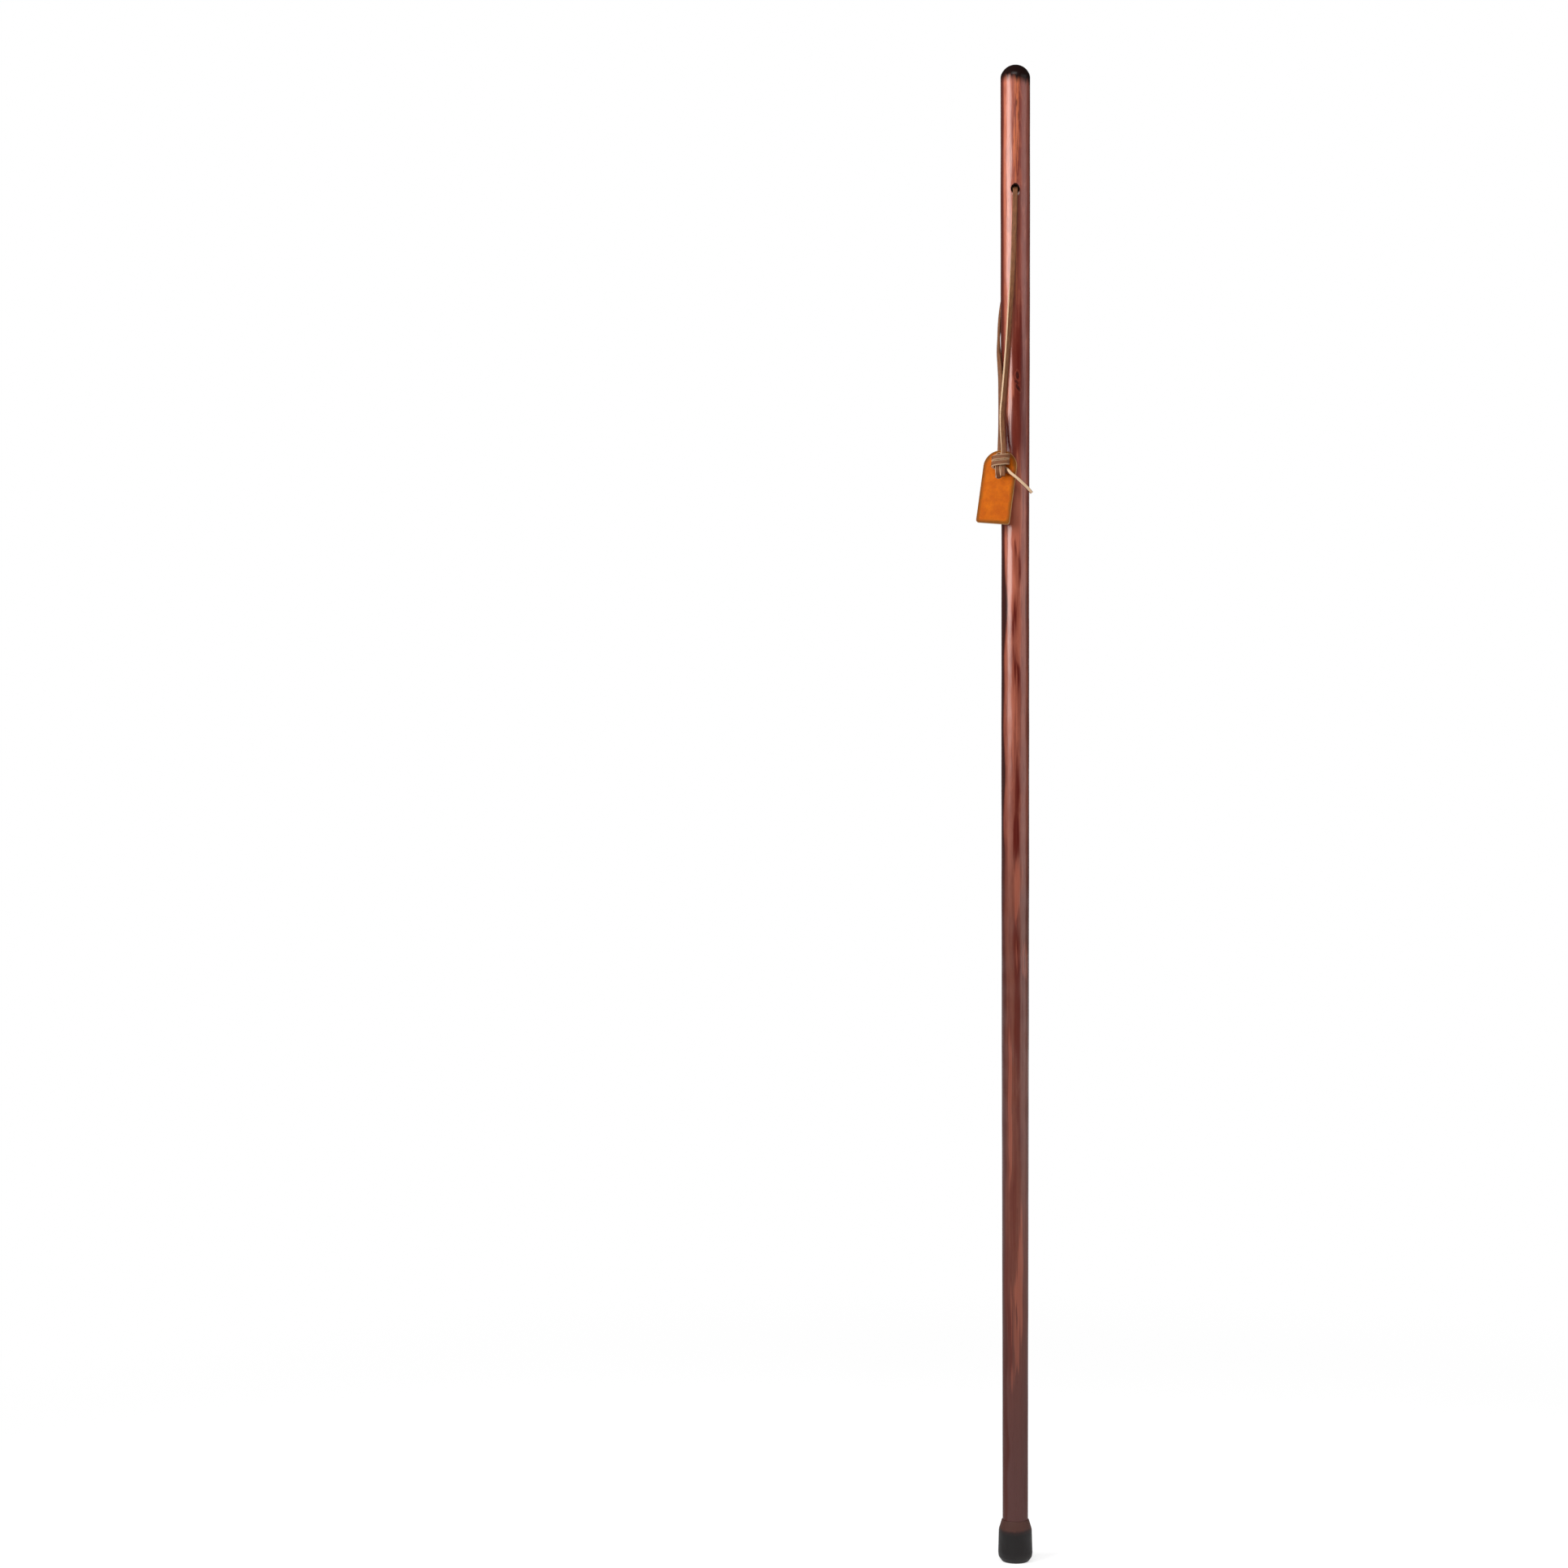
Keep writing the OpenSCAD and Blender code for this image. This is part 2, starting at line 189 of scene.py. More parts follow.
# %% The back strand: down the back, round the left, through the tag's hole and into the knot
back_rows = mouth_rows(1)
for angle, lift, drop, face in [
    (180, 1.2, 12, 180), (180, 0.6, 25, 180), (177, 0.2, 42, 177), (170, 0.2, 58, 170),
    (159, 0.2, 74, 159), (144, 0.2, 90, 144), (127, 0.2, 106, 127), (111, 0.2, 122, 109),
    (96, 0.3, 137, 88), (79, 0.5, 150, 62), (65, 0.7, 163, 38), (59, 0.8, 177, 26),
    (57, 1, 192, 20), (56, 1.2, 208, 18), (57, 1.3, 225, 20), (60, 1.4, 240, 24), (60, 2, 252, 20),
]:
    back_rows.append(staff_row(angle, lift, drop, face))
for right, out, up, face in [
    (-0.6, -TAG_T - 4.6, 5, (0, 1, 0.2)), (0, -TAG_T - 3.6, 1, (0, 1, 1)), (0, -TAG_T - 0.8, 0, UP),
    (0, 0.4, 0, UP), (0, core_v - 2.6, 0.9, (0, -0.4, 1)), (0, core_v - 0.8, 3, (0, -1, 0.5)),
]:
    back_rows.append(tag_row(right, out, up, face))
for right, out, up in [
    (0, 0, -5.5), (0, 0, -2), (0, 0, 1.6), (-0.3, -0.6, 4.4), (0, -2, 6.4), (1, -3.4, 6.6),
]:
    back_rows.append(tag_row(right, core_v + out, KNOT_RISE + up, BACK))
print("back strand:", len(back_rows), "rows up to the knot")

# %% The turns of the knot, on a flattened circle round both strands
TURN_STEP = 15


def bulge(share, power):
    """A sine or cosine pushed outwards, which makes a circle squarer."""
    return math.copysign(abs(share) ** power, share)


turn_rows = []
for step in range(round(360 * KNOT_TURNS / TURN_STEP) + 1):
    turned_by = step * TURN_STEP
    along = math.cos(math.radians(turned_by - 90))
    over = math.sin(math.radians(turned_by - 90))
    place = (strand_u / 2 + half_u * bulge(along, 2 / 3), core_v + half_v * bulge(over, 2 / 3))
    face = (bulge(along, 4 / 3) / half_u, bulge(over, 4 / 3) / half_v, 0)
    turn_rows.append(tag_row(*place, turn_top - knot_pitch * turned_by / 360, face))
print("knot:", len(turn_rows), "rows")

# %% The long loose end, across the tag and the front of the staff
LACE_RING_GAP = 1
tail_rows = [
    tag_row(right, out, turn_foot + up, face)
    for right, out, up, face in [
        (5.6, 1.9, -1.6, BACK), (9, 2.6, -3.8, (0.4, -0.6, 0.6)), (12.5, 3.2, -6.4, EDGE),
        (16, 3.4, -9.2, EDGE), (20, 2.6, -12.6, EDGE), (24, 0.8, -16.2, EDGE),
        (28, -1.8, -20, EDGE), (31, -4, -23.4, EDGE),
    ]
]


def smooth_rows(rows, gap):
    """A curve through every row, cut into rings about a gap apart."""
    made = []
    for i in range(len(rows) - 1):
        around = [rows[max(i - 1, 0)], rows[i], rows[i + 1], rows[min(i + 2, len(rows) - 1)]]
        steps = math.ceil((rows[i + 1][0] - rows[i][0]).length / gap)
        for k in range(steps):
            t = k / steps
            weights = (
                -t + 2 * t * t - t ** 3,
                2 - 5 * t * t + 3 * t ** 3,
                t + 4 * t * t - 3 * t ** 3,
                t ** 3 - t * t,
            )
            made.append(tuple(
                sum((row[part] * w / 2 for row, w in zip(around, weights)), Vector()) for part in (0, 1)
            ))
    return made + [rows[-1]]


front_line = smooth_rows(front_rows, LACE_RING_GAP)
back_line = smooth_rows(back_rows + turn_rows + tail_rows, LACE_RING_GAP)
print("rings on the front strand:", len(front_line), "and on the back strand:", len(back_line))

# %% [markdown]
# ## The lace as a mesh
# A curve with a bevel would make a round cord. A thong is flat and twists on its way, and its cut
# edges are paler than its grain, so here a flat ring is extruded from row to row and turned to
# face each row's way. In the staff's bore and in the tag's hole the ring is squeezed into a
# rounder one, as soft leather is when it is pulled through. Four numbers ride on the points: how
# far across the thong a point lies, how deep, how far along, and how pale its edge is. The
# leather's finish reads them later.

# %% The section of the lace at each row
LACE_FULLNESS = 1.04
LACE_WOBBLE = 0.035
WOBBLE_SCALE = 0.09
BORE_BUNCH = 11
BORE_EASE = 3
BORE_FILL_R = 3.2
TAG_BUNCH = 3
TAG_EASE = 1.5
TAG_FILL_R = 2.5


def bunching(point):
    """How far the lace is squeezed in the staff's bore or the tag's hole, and to what radius."""
    from_tag = point - tag_middle
    depth = from_tag.dot(tag_out)
    if (from_tag - depth * tag_out).length < TAG_EASE:
        return min(max(0, (TAG_BUNCH - abs(depth)) / TAG_EASE), 1), TAG_FILL_R
    return min(max(0, (BORE_BUNCH - point.xy.length) / BORE_EASE), 1), BORE_FILL_R


def row_frames(line):
    """For each row a matrix that lays the lace's section square to its run."""
    frames = []
    for i, (point, face) in enumerate(line):
        along = (line[min(i + 1, len(line) - 1)][0] - line[max(i - 1, 0)][0]).normalized()
        out = (face - face.dot(along) * along).normalized()
        across = along.cross(out)
        wobble = 1 + LACE_WOBBLE * noise.noise(point * WOBBLE_SCALE)
        bunched, filled = bunching(point)
        half_w = LACE_FULLNESS * wobble * LACE_W / 2 * (1 - bunched) + filled * bunched
        half_t = LACE_FULLNESS * LACE_T / 2 * (1 - bunched) + filled * bunched
        columns = (across * half_w, out * half_t, along, point)
        matrix = Matrix([[*axis, 0] for axis in columns[:3]] + [[*columns[3], 1]]).transposed()
        frames.append(matrix)
    return frames


front_frames = row_frames(front_line)
back_frames = row_frames(back_line)
print("sections laid out:", len(front_frames) + len(back_frames))

# %% One ring after another
SECTION_SIDES = 24
SECTION_POWER = 0.42
FRONT_PALE_FROM = 70
BACK_PALE_FROM = 250
PALE_EASE = 40
LACE_NUMBERS = ("across", "depth", "along", "pale")


def placed(name, shape):
    """Make an object of a finished bmesh and put it in the scene."""
    mesh = bpy.data.meshes.new(name)
    shape.to_mesh(mesh)
    shape.free()
    piece = bpy.data.objects.new(name, mesh)
    bpy.context.scene.collection.objects.link(piece)
    return piece


def skin_lace(name, frames, pale_from, pale_edges):
    """Extrude a flat ring from frame to frame. One or both cut edges turn pale from a length on."""
    shape = bmesh.new()
    layers = {key: shape.verts.layers.float.new("lace_" + key) for key in LACE_NUMBERS}
    bmesh.ops.create_circle(shape, cap_ends=True, radius=1, segments=SECTION_SIDES)
    for vert in shape.verts:
        vert.co.x = bulge(vert.co.x, SECTION_POWER)
        vert.co.y = bulge(vert.co.y, SECTION_POWER)
        vert[layers["across"]] = vert.co.x
        vert[layers["depth"]] = vert.co.y
    bmesh.ops.transform(shape, matrix=frames[0], verts=shape.verts[:])
    rim = shape.edges[:]
    travelled = 0
    for before, after in zip(frames, frames[1:]):
        travelled += (after.translation - before.translation).length
        made = bmesh.ops.extrude_edge_only(shape, edges=rim)["geom"]
        fresh = [part for part in made if isinstance(part, bmesh.types.BMVert)]
        bmesh.ops.transform(shape, matrix=after @ before.inverted(), verts=fresh)
        for vert in fresh:
            vert[layers["along"]] = travelled * MM
            if pale_edges == 2 or vert[layers["across"]] > 0:
                vert[layers["pale"]] = min(max((travelled - pale_from) / PALE_EASE, 0), 1)
        ring = set(fresh)
        rim = [e for e in made if isinstance(e, bmesh.types.BMEdge) and ring.issuperset(e.verts)]
    bmesh.ops.contextual_create(shape, geom=rim)
    bmesh.ops.recalc_face_normals(shape, faces=shape.faces[:])
    bmesh.ops.scale(shape, vec=(MM, MM, MM), verts=shape.verts[:])
    for side in shape.faces:
        side.smooth = len(side.verts) == 4
    return placed(name, shape), travelled * MM


front_strand, front_length = skin_lace("lace_front_strand", front_frames, FRONT_PALE_FROM, 1)
back_strand, back_length = skin_lace("lace_back_strand", back_frames, BACK_PALE_FROM, 2)
print("front strand", round(front_length, 4), "m, back strand", round(back_length, 4), "m")

# %% The strands stand for the lace's solids, and swing with the lanyard
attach(front_strand, "lanyard")
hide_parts("lanyard_bore_run", "lanyard_front_run", "lanyard_short_tail")
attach(back_strand, "lanyard")
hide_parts("lanyard_back_run", "lanyard_knot", "lanyard_long_tail")

# %% [markdown]
# ## Nodes in few words
# Every finish below is made of shader nodes. A recipe holds the nodes of one finish: each call
# adds a node, feeds its sockets and gives its output, so that a finish reads as a few lines.

# %% A recipe for a finish


def srgb(red, green, blue):
    """A colour as a screen shows it, from 0 to 255, as the linear colour that a shader needs."""
    linear = []
    for value in (red / 255, green / 255, blue / 255):
        linear.append(value / 12.92 if value <= 0.04045 else ((value + 0.055) / 1.055) ** 2.4)
    return (*linear, 1)


class Recipe:
    """The nodes of one finish, round its main shader."""

    def __init__(self, name, kind="materials", main="Principled BSDF"):
        self.finish = getattr(bpy.data, kind).new(name)
        self.finish.use_nodes = True
        self.tree = self.finish.node_tree
        self.shader = self.tree.nodes[main]

    def feed(self, socket, value):
        """Wire another node's output to a socket, or set a plain value on it."""
        if isinstance(value, bpy.types.NodeSocket):
            self.tree.links.new(value, socket)
        else:
            socket.default_value = value

    def put(self, name, value):
        """Feed a socket of the main shader."""
        self.feed(self.shader.inputs[name], value)

    def wire(self, kind, sockets, **settings):
        """Add a node, with its settings first."""
        made = self.tree.nodes.new("ShaderNode" + kind)
        for key, value in settings.items():
            setattr(made, key, value)
        for key, value in sockets.items():
            self.feed(made.inputs[key], value)
        return made

    def spot(self):
        """Where a point lies, in metres."""
        return self.wire("TexCoord", {}).outputs["Object"]

    def number(self, name):
        """A number that rides on the points of the mesh."""
        return self.wire("Attribute", {}, attribute_name=name).outputs["Fac"]

    def part(self, vector, axis):
        return self.wire("SeparateXYZ", {0: vector}).outputs[axis]

    def calc(self, operation, first, second=0.0):
        return self.wire("Math", {0: first, 1: second}, operation=operation).outputs[0]

    def plus(self, first, second):
        return self.calc("ADD", first, second)

    def times(self, first, second):
        return self.calc("MULTIPLY", first, second)

    def larger(self, first, second):
        return self.calc("MAXIMUM", first, second)

    def vector(self, operation, first, second=(0, 0, 0)):
        """Both outputs of a sum on vectors: a vector, and a number."""
        return self.wire("VectorMath", {0: first, 1: second}, operation=operation).outputs

    def shifted(self, vector, colour, reach):
        """Coordinates moved by a noise colour, up to half of reach each way."""
        centred = self.vector("SUBTRACT", colour, (0.5, 0.5, 0.5))[0]
        return self.vector("ADD", vector, self.vector("MULTIPLY", centred, reach)[0])[0]

    def fade(self, value, start, end, low=0.0, high=1.0, kind="SMOOTHSTEP"):
        """A step from low to high, soft if not said otherwise, as a value goes from start to end."""
        sockets = {"Value": value, "From Min": start, "From Max": end, "To Min": low, "To Max": high}
        return self.wire("MapRange", sockets, interpolation_type=kind).outputs[0]

    def mixed(self, share, first, second):
        """Two colours, mixed by a share."""
        return self.wire("Mix", {0: share, 6: first, 7: second}, data_type="RGBA").outputs[2]

    def stretched(self, vector, scale):
        return self.wire("Mapping", {"Vector": vector, "Scale": scale}).outputs[0]

    def grain(self, vector, scale, detail, roughness):
        """Noise of one size each way."""
        sockets = {"Vector": vector, "Scale": scale, "Detail": detail, "Roughness": roughness}
        return self.wire("TexNoise", sockets).outputs[0]

    def streaks(self, vector, scale, detail, roughness=0.5):
        """Noise with a scale for each axis: a small one draws it out."""
        return self.grain(self.stretched(vector, scale), 1.0, detail, roughness)

    def drift(self, vector, scale, detail):
        """Noise as a colour, which can move coordinates."""
        line = self.stretched(vector, scale)
        return self.wire("TexNoise", {"Vector": line, "Scale": 1, "Detail": detail}).outputs[1]

    def ramp(self, value, stops):
        """A row of colours along a value from 0 to 1."""
        made = self.wire("ValToRGB", {0: value})
        row = made.color_ramp.elements
        while len(row) < len(stops):
            row.new(0.5)
        for stop, (position, colour) in zip(row, stops):
            stop.position = position
            stop.color = colour
        return made.outputs[0]

    def curve(self, value, points):
        """A smooth line through points, with both axes from 0 to 1."""
        made = self.wire("FloatCurve", {"Value": value})
        line = made.mapping.curves[0].points
        for _ in points[2:]:
            line.new(0.5, 0.5)
        for dot, place in zip(line, sorted(points)):
            dot.location = place
        made.mapping.update()
        return made.outputs[0]

    def relief(self, height, strength, distance):
        sockets = {"Height": height, "Strength": strength, "Distance": distance}
        return self.wire("Bump", sockets).outputs[0]


# %% [markdown]
# ## The wood
# The shaft is turned from one length of wood, stained red-brown and varnished. Rings of growth
# run along it: where they lie flat to the surface, at the front, they draw long tongues and
# islands, and at the sides close straight lines. So the pattern is made in space, as rings round
# a pith behind the staff, and the surface cuts through it. A painted picture would be easier to
# steer, but it would smear at the crown and need a seam.

# %% Growth rings
PITH_REACH = 0.04
FIGURE_SIDE = -9
RING_STEP = 0.0055
RING_FRAY = 0.05
WOOD_TOP = 1.4
RING_LOW, RING_HIGH = -1, 0.5
LEVEL = (1, 1, 0)
RIPPLE_SCALE = (90, 90, 7)
FIBRE_SCALE = (1300, 1300, 14)

# Height, and the ring that comes to the front there: just below 0 is dark wood, just above it pale
FRONT_RINGS = [
    (0, -0.6), (0.25, -0.5), (0.4, -0.2), (0.5, -0.3), (0.58, -0.12), (0.64, -0.3), (0.7, -0.05),
    (0.74, 0.02), (0.78, -0.3), (0.832, -0.04), (0.855, -0.28), (0.875, -0.05), (0.912, -0.35),
    (0.942, -0.06), (0.98, -0.4), (1.03, -0.1), (1.08, -0.1), (1.13, -0.06), (1.16, -0.01),
    (1.18, 0.008), (1.24, 0.02), (1.32, 0.03), (1.4, 0.02),
]

wood = Recipe("varnished_wood")
spot = wood.spot()
height = wood.part(spot, 2)
ripple = wood.drift(spot, RIPPLE_SCALE, 4)
figure = wood.shifted(spot, ripple, (0.0026, 0.0026, 0.03))
fibres = wood.streaks(figure, FIBRE_SCALE, 4.0, 0.6)

pith = round_left(FIGURE_SIDE) * -PITH_REACH
from_pith = wood.vector("MULTIPLY", wood.vector("SUBTRACT", figure, pith)[0], LEVEL)[0]
inward = wood.calc("SUBTRACT", wood.vector("LENGTH", from_pith)[1], PITH_REACH + GRIP_R * MM)
front_ring = wood.curve(
    wood.calc("DIVIDE", wood.vector("DOT_PRODUCT", figure, UP)[1], WOOD_TOP),
    [(level / WOOD_TOP, (ring - RING_LOW) / (RING_HIGH - RING_LOW)) for level, ring in FRONT_RINGS],
)
front_ring = wood.fade(front_ring, 0.0, 1.0, RING_LOW, RING_HIGH, "LINEAR")
rings = wood.plus(front_ring, wood.calc("DIVIDE", inward, RING_STEP))
rings = wood.plus(rings, wood.fade(fibres, 0.2, 0.8, -RING_FRAY, RING_FRAY))
print("growth rings follow", len(FRONT_RINGS), "heights")

# %% [markdown]
# ## Streaks, knots and pale tongues
# Rings alone are too even. Dark heartwood runs in long wine-red streaks, a few small knots are
# nearly black, some with a pale rim, and pale wood shows in tongues. Two dark marks just above the
# tag are partly a painted shadow of the lace and tag, and two pale marks are a painted highlight
# and a painted reflection. Each is a mark laid on the surface at an angle and a height: a long ball
# in stretched coordinates, whose outline the fibres and bands fray. Sums of marks could pile up, so
# the strongest one wins at each point.

# %% Marks on the wood
SWAY_SCALE = (12, 12, 14)
SWAY_REACH = 0.016
BAND_SCALE = (330, 330, 2.5)
MARK_DEPTH = 0.02
LONG_MARK = 0.01

# Degrees to the left, height, half width, half height, strength, strength of a pale rim
DARK_MARKS = [
    (-6, 1.357, 0.0007, 0.005, 0.8, 0), (-12, 1.345, 0.0006, 0.006, 0.7, 0),
    (-8, 1.318, 0.0005, 0.007, 0.6, 0), (-16, 1.1, 0.0078, 0.085, 0.95, 0),
    (-12, 1.105, 0.005, 0.05, 1, 0), (-34, 1.055, 0.0062, 0.05, 0.75, 0),
    (-9, 1.104, 0.0017, 0.0034, 1, 0.16), (-6, 1.0975, 0.002, 0.0016, 1, 0.08),
    (-11, 1.093, 0.0022, 0.0024, 1, 0.1), (52, 1.12, 0.0042, 0.13, 0.4, 0),
    # These two marks above the tag are partly dark figure and partly a painted shadow of the lace and
    # tag
    (8, 1.05, 0.006, 0.036, 0.95, 0), (25, 1.042, 0.007, 0.032, 1, 0),
    (-4, 0.945, 0.0036, 0.036, 0.85, 0), (-3, 0.93, 0.0042, 0.022, 1, 0),
    (3, 0.886, 0.0042, 0.03, 1, 0), (2, 0.829, 0.0062, 0.028, 1, 0),
    (-7, 0.72, 0.0048, 0.034, 0.95, 0), (-6, 0.68, 0.0054, 0.032, 1, 0),
    (-9, 0.565, 0.0046, 0.045, 0.8, 0), (-6, 0.5, 0.0046, 0.06, 0.75, 0),
    (30, 0.45, 0.0036, 0.08, 0.5, 0), (-20, 0.4, 0.0028, 0.06, 0.5, 0),
    (2, 0.34, 0.004, 0.07, 0.5, 0), (32, 0.25, 0.0036, 0.09, 0.5, 0),
    (-140, 0.98, 0.003, 0.009, 0.9, 0.4), (150, 0.56, 0.004, 0.012, 0.8, 0.4),
    (80, 0.79, 0.002, 0.008, 0.8, 0.4),
]
PALE_MARKS = [
    # The mark at -8 degrees and 0.984 m, right of the tag, is a painted highlight
    (16, 1.092, 0.0022, 0.011, 0.5), (-8, 0.984, 0.0068, 0.034, 0.75), (18, 0.93, 0.0045, 0.05, 0.55),
    (16, 0.8, 0.004, 0.06, 0.4), (-22, 0.87, 0.0026, 0.05, 0.35), (-16, 0.628, 0.0042, 0.026, 0.45),
    # The mark at -6 degrees and 0.205 m is a painted reflection of the varnish
    (24, 0.42, 0.0024, 0.06, 0.35), (-22, 0.265, 0.0036, 0.065, 0.42), (-6, 0.205, 0.0034, 0.045, 0.3),
]

sway = wood.drift(spot, SWAY_SCALE, 1)
sway_reach = wood.fade(height, 1.03, 0.95, 0.0, SWAY_REACH)
sway_reach = wood.wire("CombineXYZ", {0: sway_reach, 1: sway_reach}).outputs[0]
bands = wood.streaks(figure, BAND_SCALE, 3.0, 0.55)
feather = wood.plus(wood.fade(bands, 0.3, 0.7, -0.4, 0.4), wood.fade(fibres, 0.3, 0.7, -0.25, 0.25))
ragged = wood.fade(fibres, 0.3, 0.7, -0.3, 0.3)
wavy = wood.shifted(wood.shifted(spot, ripple, (0.0036, 0.0036, 0.024)), sway, sway_reach)


def mark_reach(angle, level, half_width, half_height):
    """How far a point lies from a mark on the surface, where 1 is the mark's outline."""
    centre = round_left(angle) * shaft_radius(level / MM) * MM
    centre.z = level
    sockets = {
        "Vector": wavy, "Location": centre, "Rotation": (0, 0, -math.radians(angle)),
        "Scale": (half_width, MARK_DEPTH, half_height),
    }
    laid = wood.wire("Mapping", sockets, vector_type="TEXTURE").outputs[0]
    reach = wood.vector("LENGTH", laid)[1]
    return wood.plus(reach, feather if half_height > LONG_MARK else ragged)


wineness, darkness, paleness = 0.0, 0.0, 0.0
for *place, dark, pale_rim in DARK_MARKS:
    reach = mark_reach(*place)
    soaked = wood.fade(reach, 1.15, 0.35, 0.0, dark)
    if place[-1] > LONG_MARK:
        wineness = wood.larger(wineness, soaked)
    else:
        soaked = wood.times(soaked, wood.fade(reach, 0.0, 0.6, 0.45, 1.0))
        darkness = wood.larger(darkness, soaked)
    if pale_rim:
        rim_band = wood.times(wood.fade(reach, 1.0, 1.25), wood.fade(reach, 1.75, 1.35))
        paleness = wood.larger(paleness, wood.times(rim_band, pale_rim))
for *place, pale in PALE_MARKS:
    paleness = wood.larger(paleness, wood.fade(mark_reach(*place), 1.1, 0.7, 0.0, pale))
print("wood figure with", len(DARK_MARKS), "dark and", len(PALE_MARKS), "pale marks")

# %% [markdown]
# ## The colours of the wood
# The wood is orange and salmon at the front of the grip, and the salmon on its left front is partly
# a painted highlight under the varnish's long highlight. It is purple-red at the right, partly a
# painted reflection of the right-hand soft box, and browner, duller and darker towards the foot,
# partly a stain and partly painted shade where the lamps reach less. Painted shade darkens both
# sides, and a painted line of shade runs along the left edge. The crown is dipped in a nearly black
# stain that ran a little, and its darkness is partly painted shade where the dome turns up, away
# from the lamps. One colour is laid over the other, as stains are, each by the share that a
# pattern, a side of the staff or a height gives it.

# %% Stains, one over the other
WOOD_ORANGE = srgb(216, 116, 70)
WOOD_SALMON = srgb(232, 134, 102)
WOOD_PALE = srgb(206, 116, 90)
WOOD_WARM = srgb(176, 90, 70)
WOOD_RUST = srgb(142, 66, 52)
WOOD_EDGE = srgb(120, 50, 40)
WOOD_DARK = srgb(88, 34, 25)
WOOD_HEART_AND_SHEEN = srgb(156, 84, 75)
WOOD_WINE = srgb(94, 20, 12)
WOOD_KNOT_AND_SHADE = srgb(40, 14, 13)
WOOD_MIDDLE = srgb(128, 66, 50)
WOOD_LOW = srgb(108, 54, 38)
WOOD_FOOT = srgb(95, 62, 60)

def stained(under, pattern, start, end, most, colour):
    """Lay a colour over another, up to a share, as a pattern goes from start to end."""
    return wood.mixed(wood.fade(pattern, start, end, 0.0, most), under, colour)


body = wood.ramp(wood.calc("FRACT", rings), [
    (0.0, WOOD_PALE), (0.4, WOOD_PALE), (0.68, WOOD_WARM), (0.9, WOOD_WARM), (0.96, WOOD_RUST),
    (1.0, WOOD_EDGE),
])
body = stained(body, bands, 0.48, 0.7, 0.65, WOOD_RUST)
body = stained(body, bands, 0.5, 0.32, 0.55, WOOD_PALE)
tongue = wood.times(wood.fade(rings, -0.012, 0.012), wood.fade(height, 1.1, 1.18, 0.3, 0.9))
tongue = wood.times(tongue, wood.fade(bands, 0.68, 0.5, 0.3, 1.0))
body = wood.mixed(tongue, body, WOOD_ORANGE)
print("ground colours from", len(wood.tree.nodes), "nodes")

# %% The sides of the staff, its height and its pores, with painted shade, highlight and reflection
HEART_AND_SHEEN_SIDE = -42
SALMON_HIGHLIGHT_SIDE = 27
SHADE_LINE_SIDE = 68
SHADE_LINE_ENDS = [(0.98, 0.92), (0.58, 0.72)]
BLOTCH_SCALE = (210, 210, 55)
PORE_SCALE = (2600, 2600, 90)

# Painted shade on the sides: degrees to the left, start and end of the shade, strength, and how
# much wider it is low down
SHADED_SIDES = [(98, 0.6, 0.82, 0.92, 0.12), (-92, 0.76, 0.96, 0.6, 0.06)]

around = wood.vector("NORMALIZE", wood.vector("MULTIPLY", wavy, LEVEL)[0])[0]


def towards(angle):
    """1 on the side of the staff at an angle, and 0 a quarter turn away."""
    return wood.vector("DOT_PRODUCT", around, round_left(angle))[1]


# Purple-red on the right front: partly the wood's own tone, partly a painted reflection of the
# right-hand soft box
heart_and_sheen = wood.fade(towards(HEART_AND_SHEEN_SIDE), 0.855, 0.957, 0.0, 0.55)
heart_and_sheen = wood.times(heart_and_sheen, wood.fade(height, 0.94, 1.02, 0.4, 1.0))
body = wood.mixed(heart_and_sheen, body, WOOD_HEART_AND_SHEEN)
# Salmon on the left front of the grip, under the long highlight: partly the wood's own tone, partly a
# painted highlight
salmon_and_highlight = wood.fade(towards(SALMON_HIGHLIGHT_SIDE), 0.9, 0.98, 0.0, 0.55)
salmon_and_highlight = wood.times(salmon_and_highlight, wood.fade(bands, 0.66, 0.46, 0.35, 1.0))
salmon_and_highlight = wood.times(salmon_and_highlight, wood.fade(height, 0.7, 0.9))
body = wood.mixed(salmon_and_highlight, body, WOOD_SALMON)
blotches = wood.streaks(figure, BLOTCH_SCALE, 3.0, 0.55)
body = stained(body, blotches, 0.5, 0.68, 0.35, WOOD_RUST)
body = stained(body, blotches, 0.48, 0.34, 0.25, WOOD_SALMON)
body = stained(body, fibres, 0.46, 0.72, 0.6, WOOD_RUST)
# Darker towards the foot: partly a stain, partly painted shade where the lamps reach less
body = stained(body, height, 1.02, 0.74, 0.5, WOOD_MIDDLE)
body = stained(body, height, 0.74, 0.56, 0.72, WOOD_LOW)
body = stained(body, height, 0.35, 0.05, 0.85, WOOD_FOOT)
# Painted shade on both sides of the staff
for angle, start, end, most, wider in SHADED_SIDES:
    side_shade = wood.plus(towards(angle), wood.fade(height, 1.06, 0.94, 0.0, wider))
    body = stained(body, side_shade, start, end, most, WOOD_DARK)
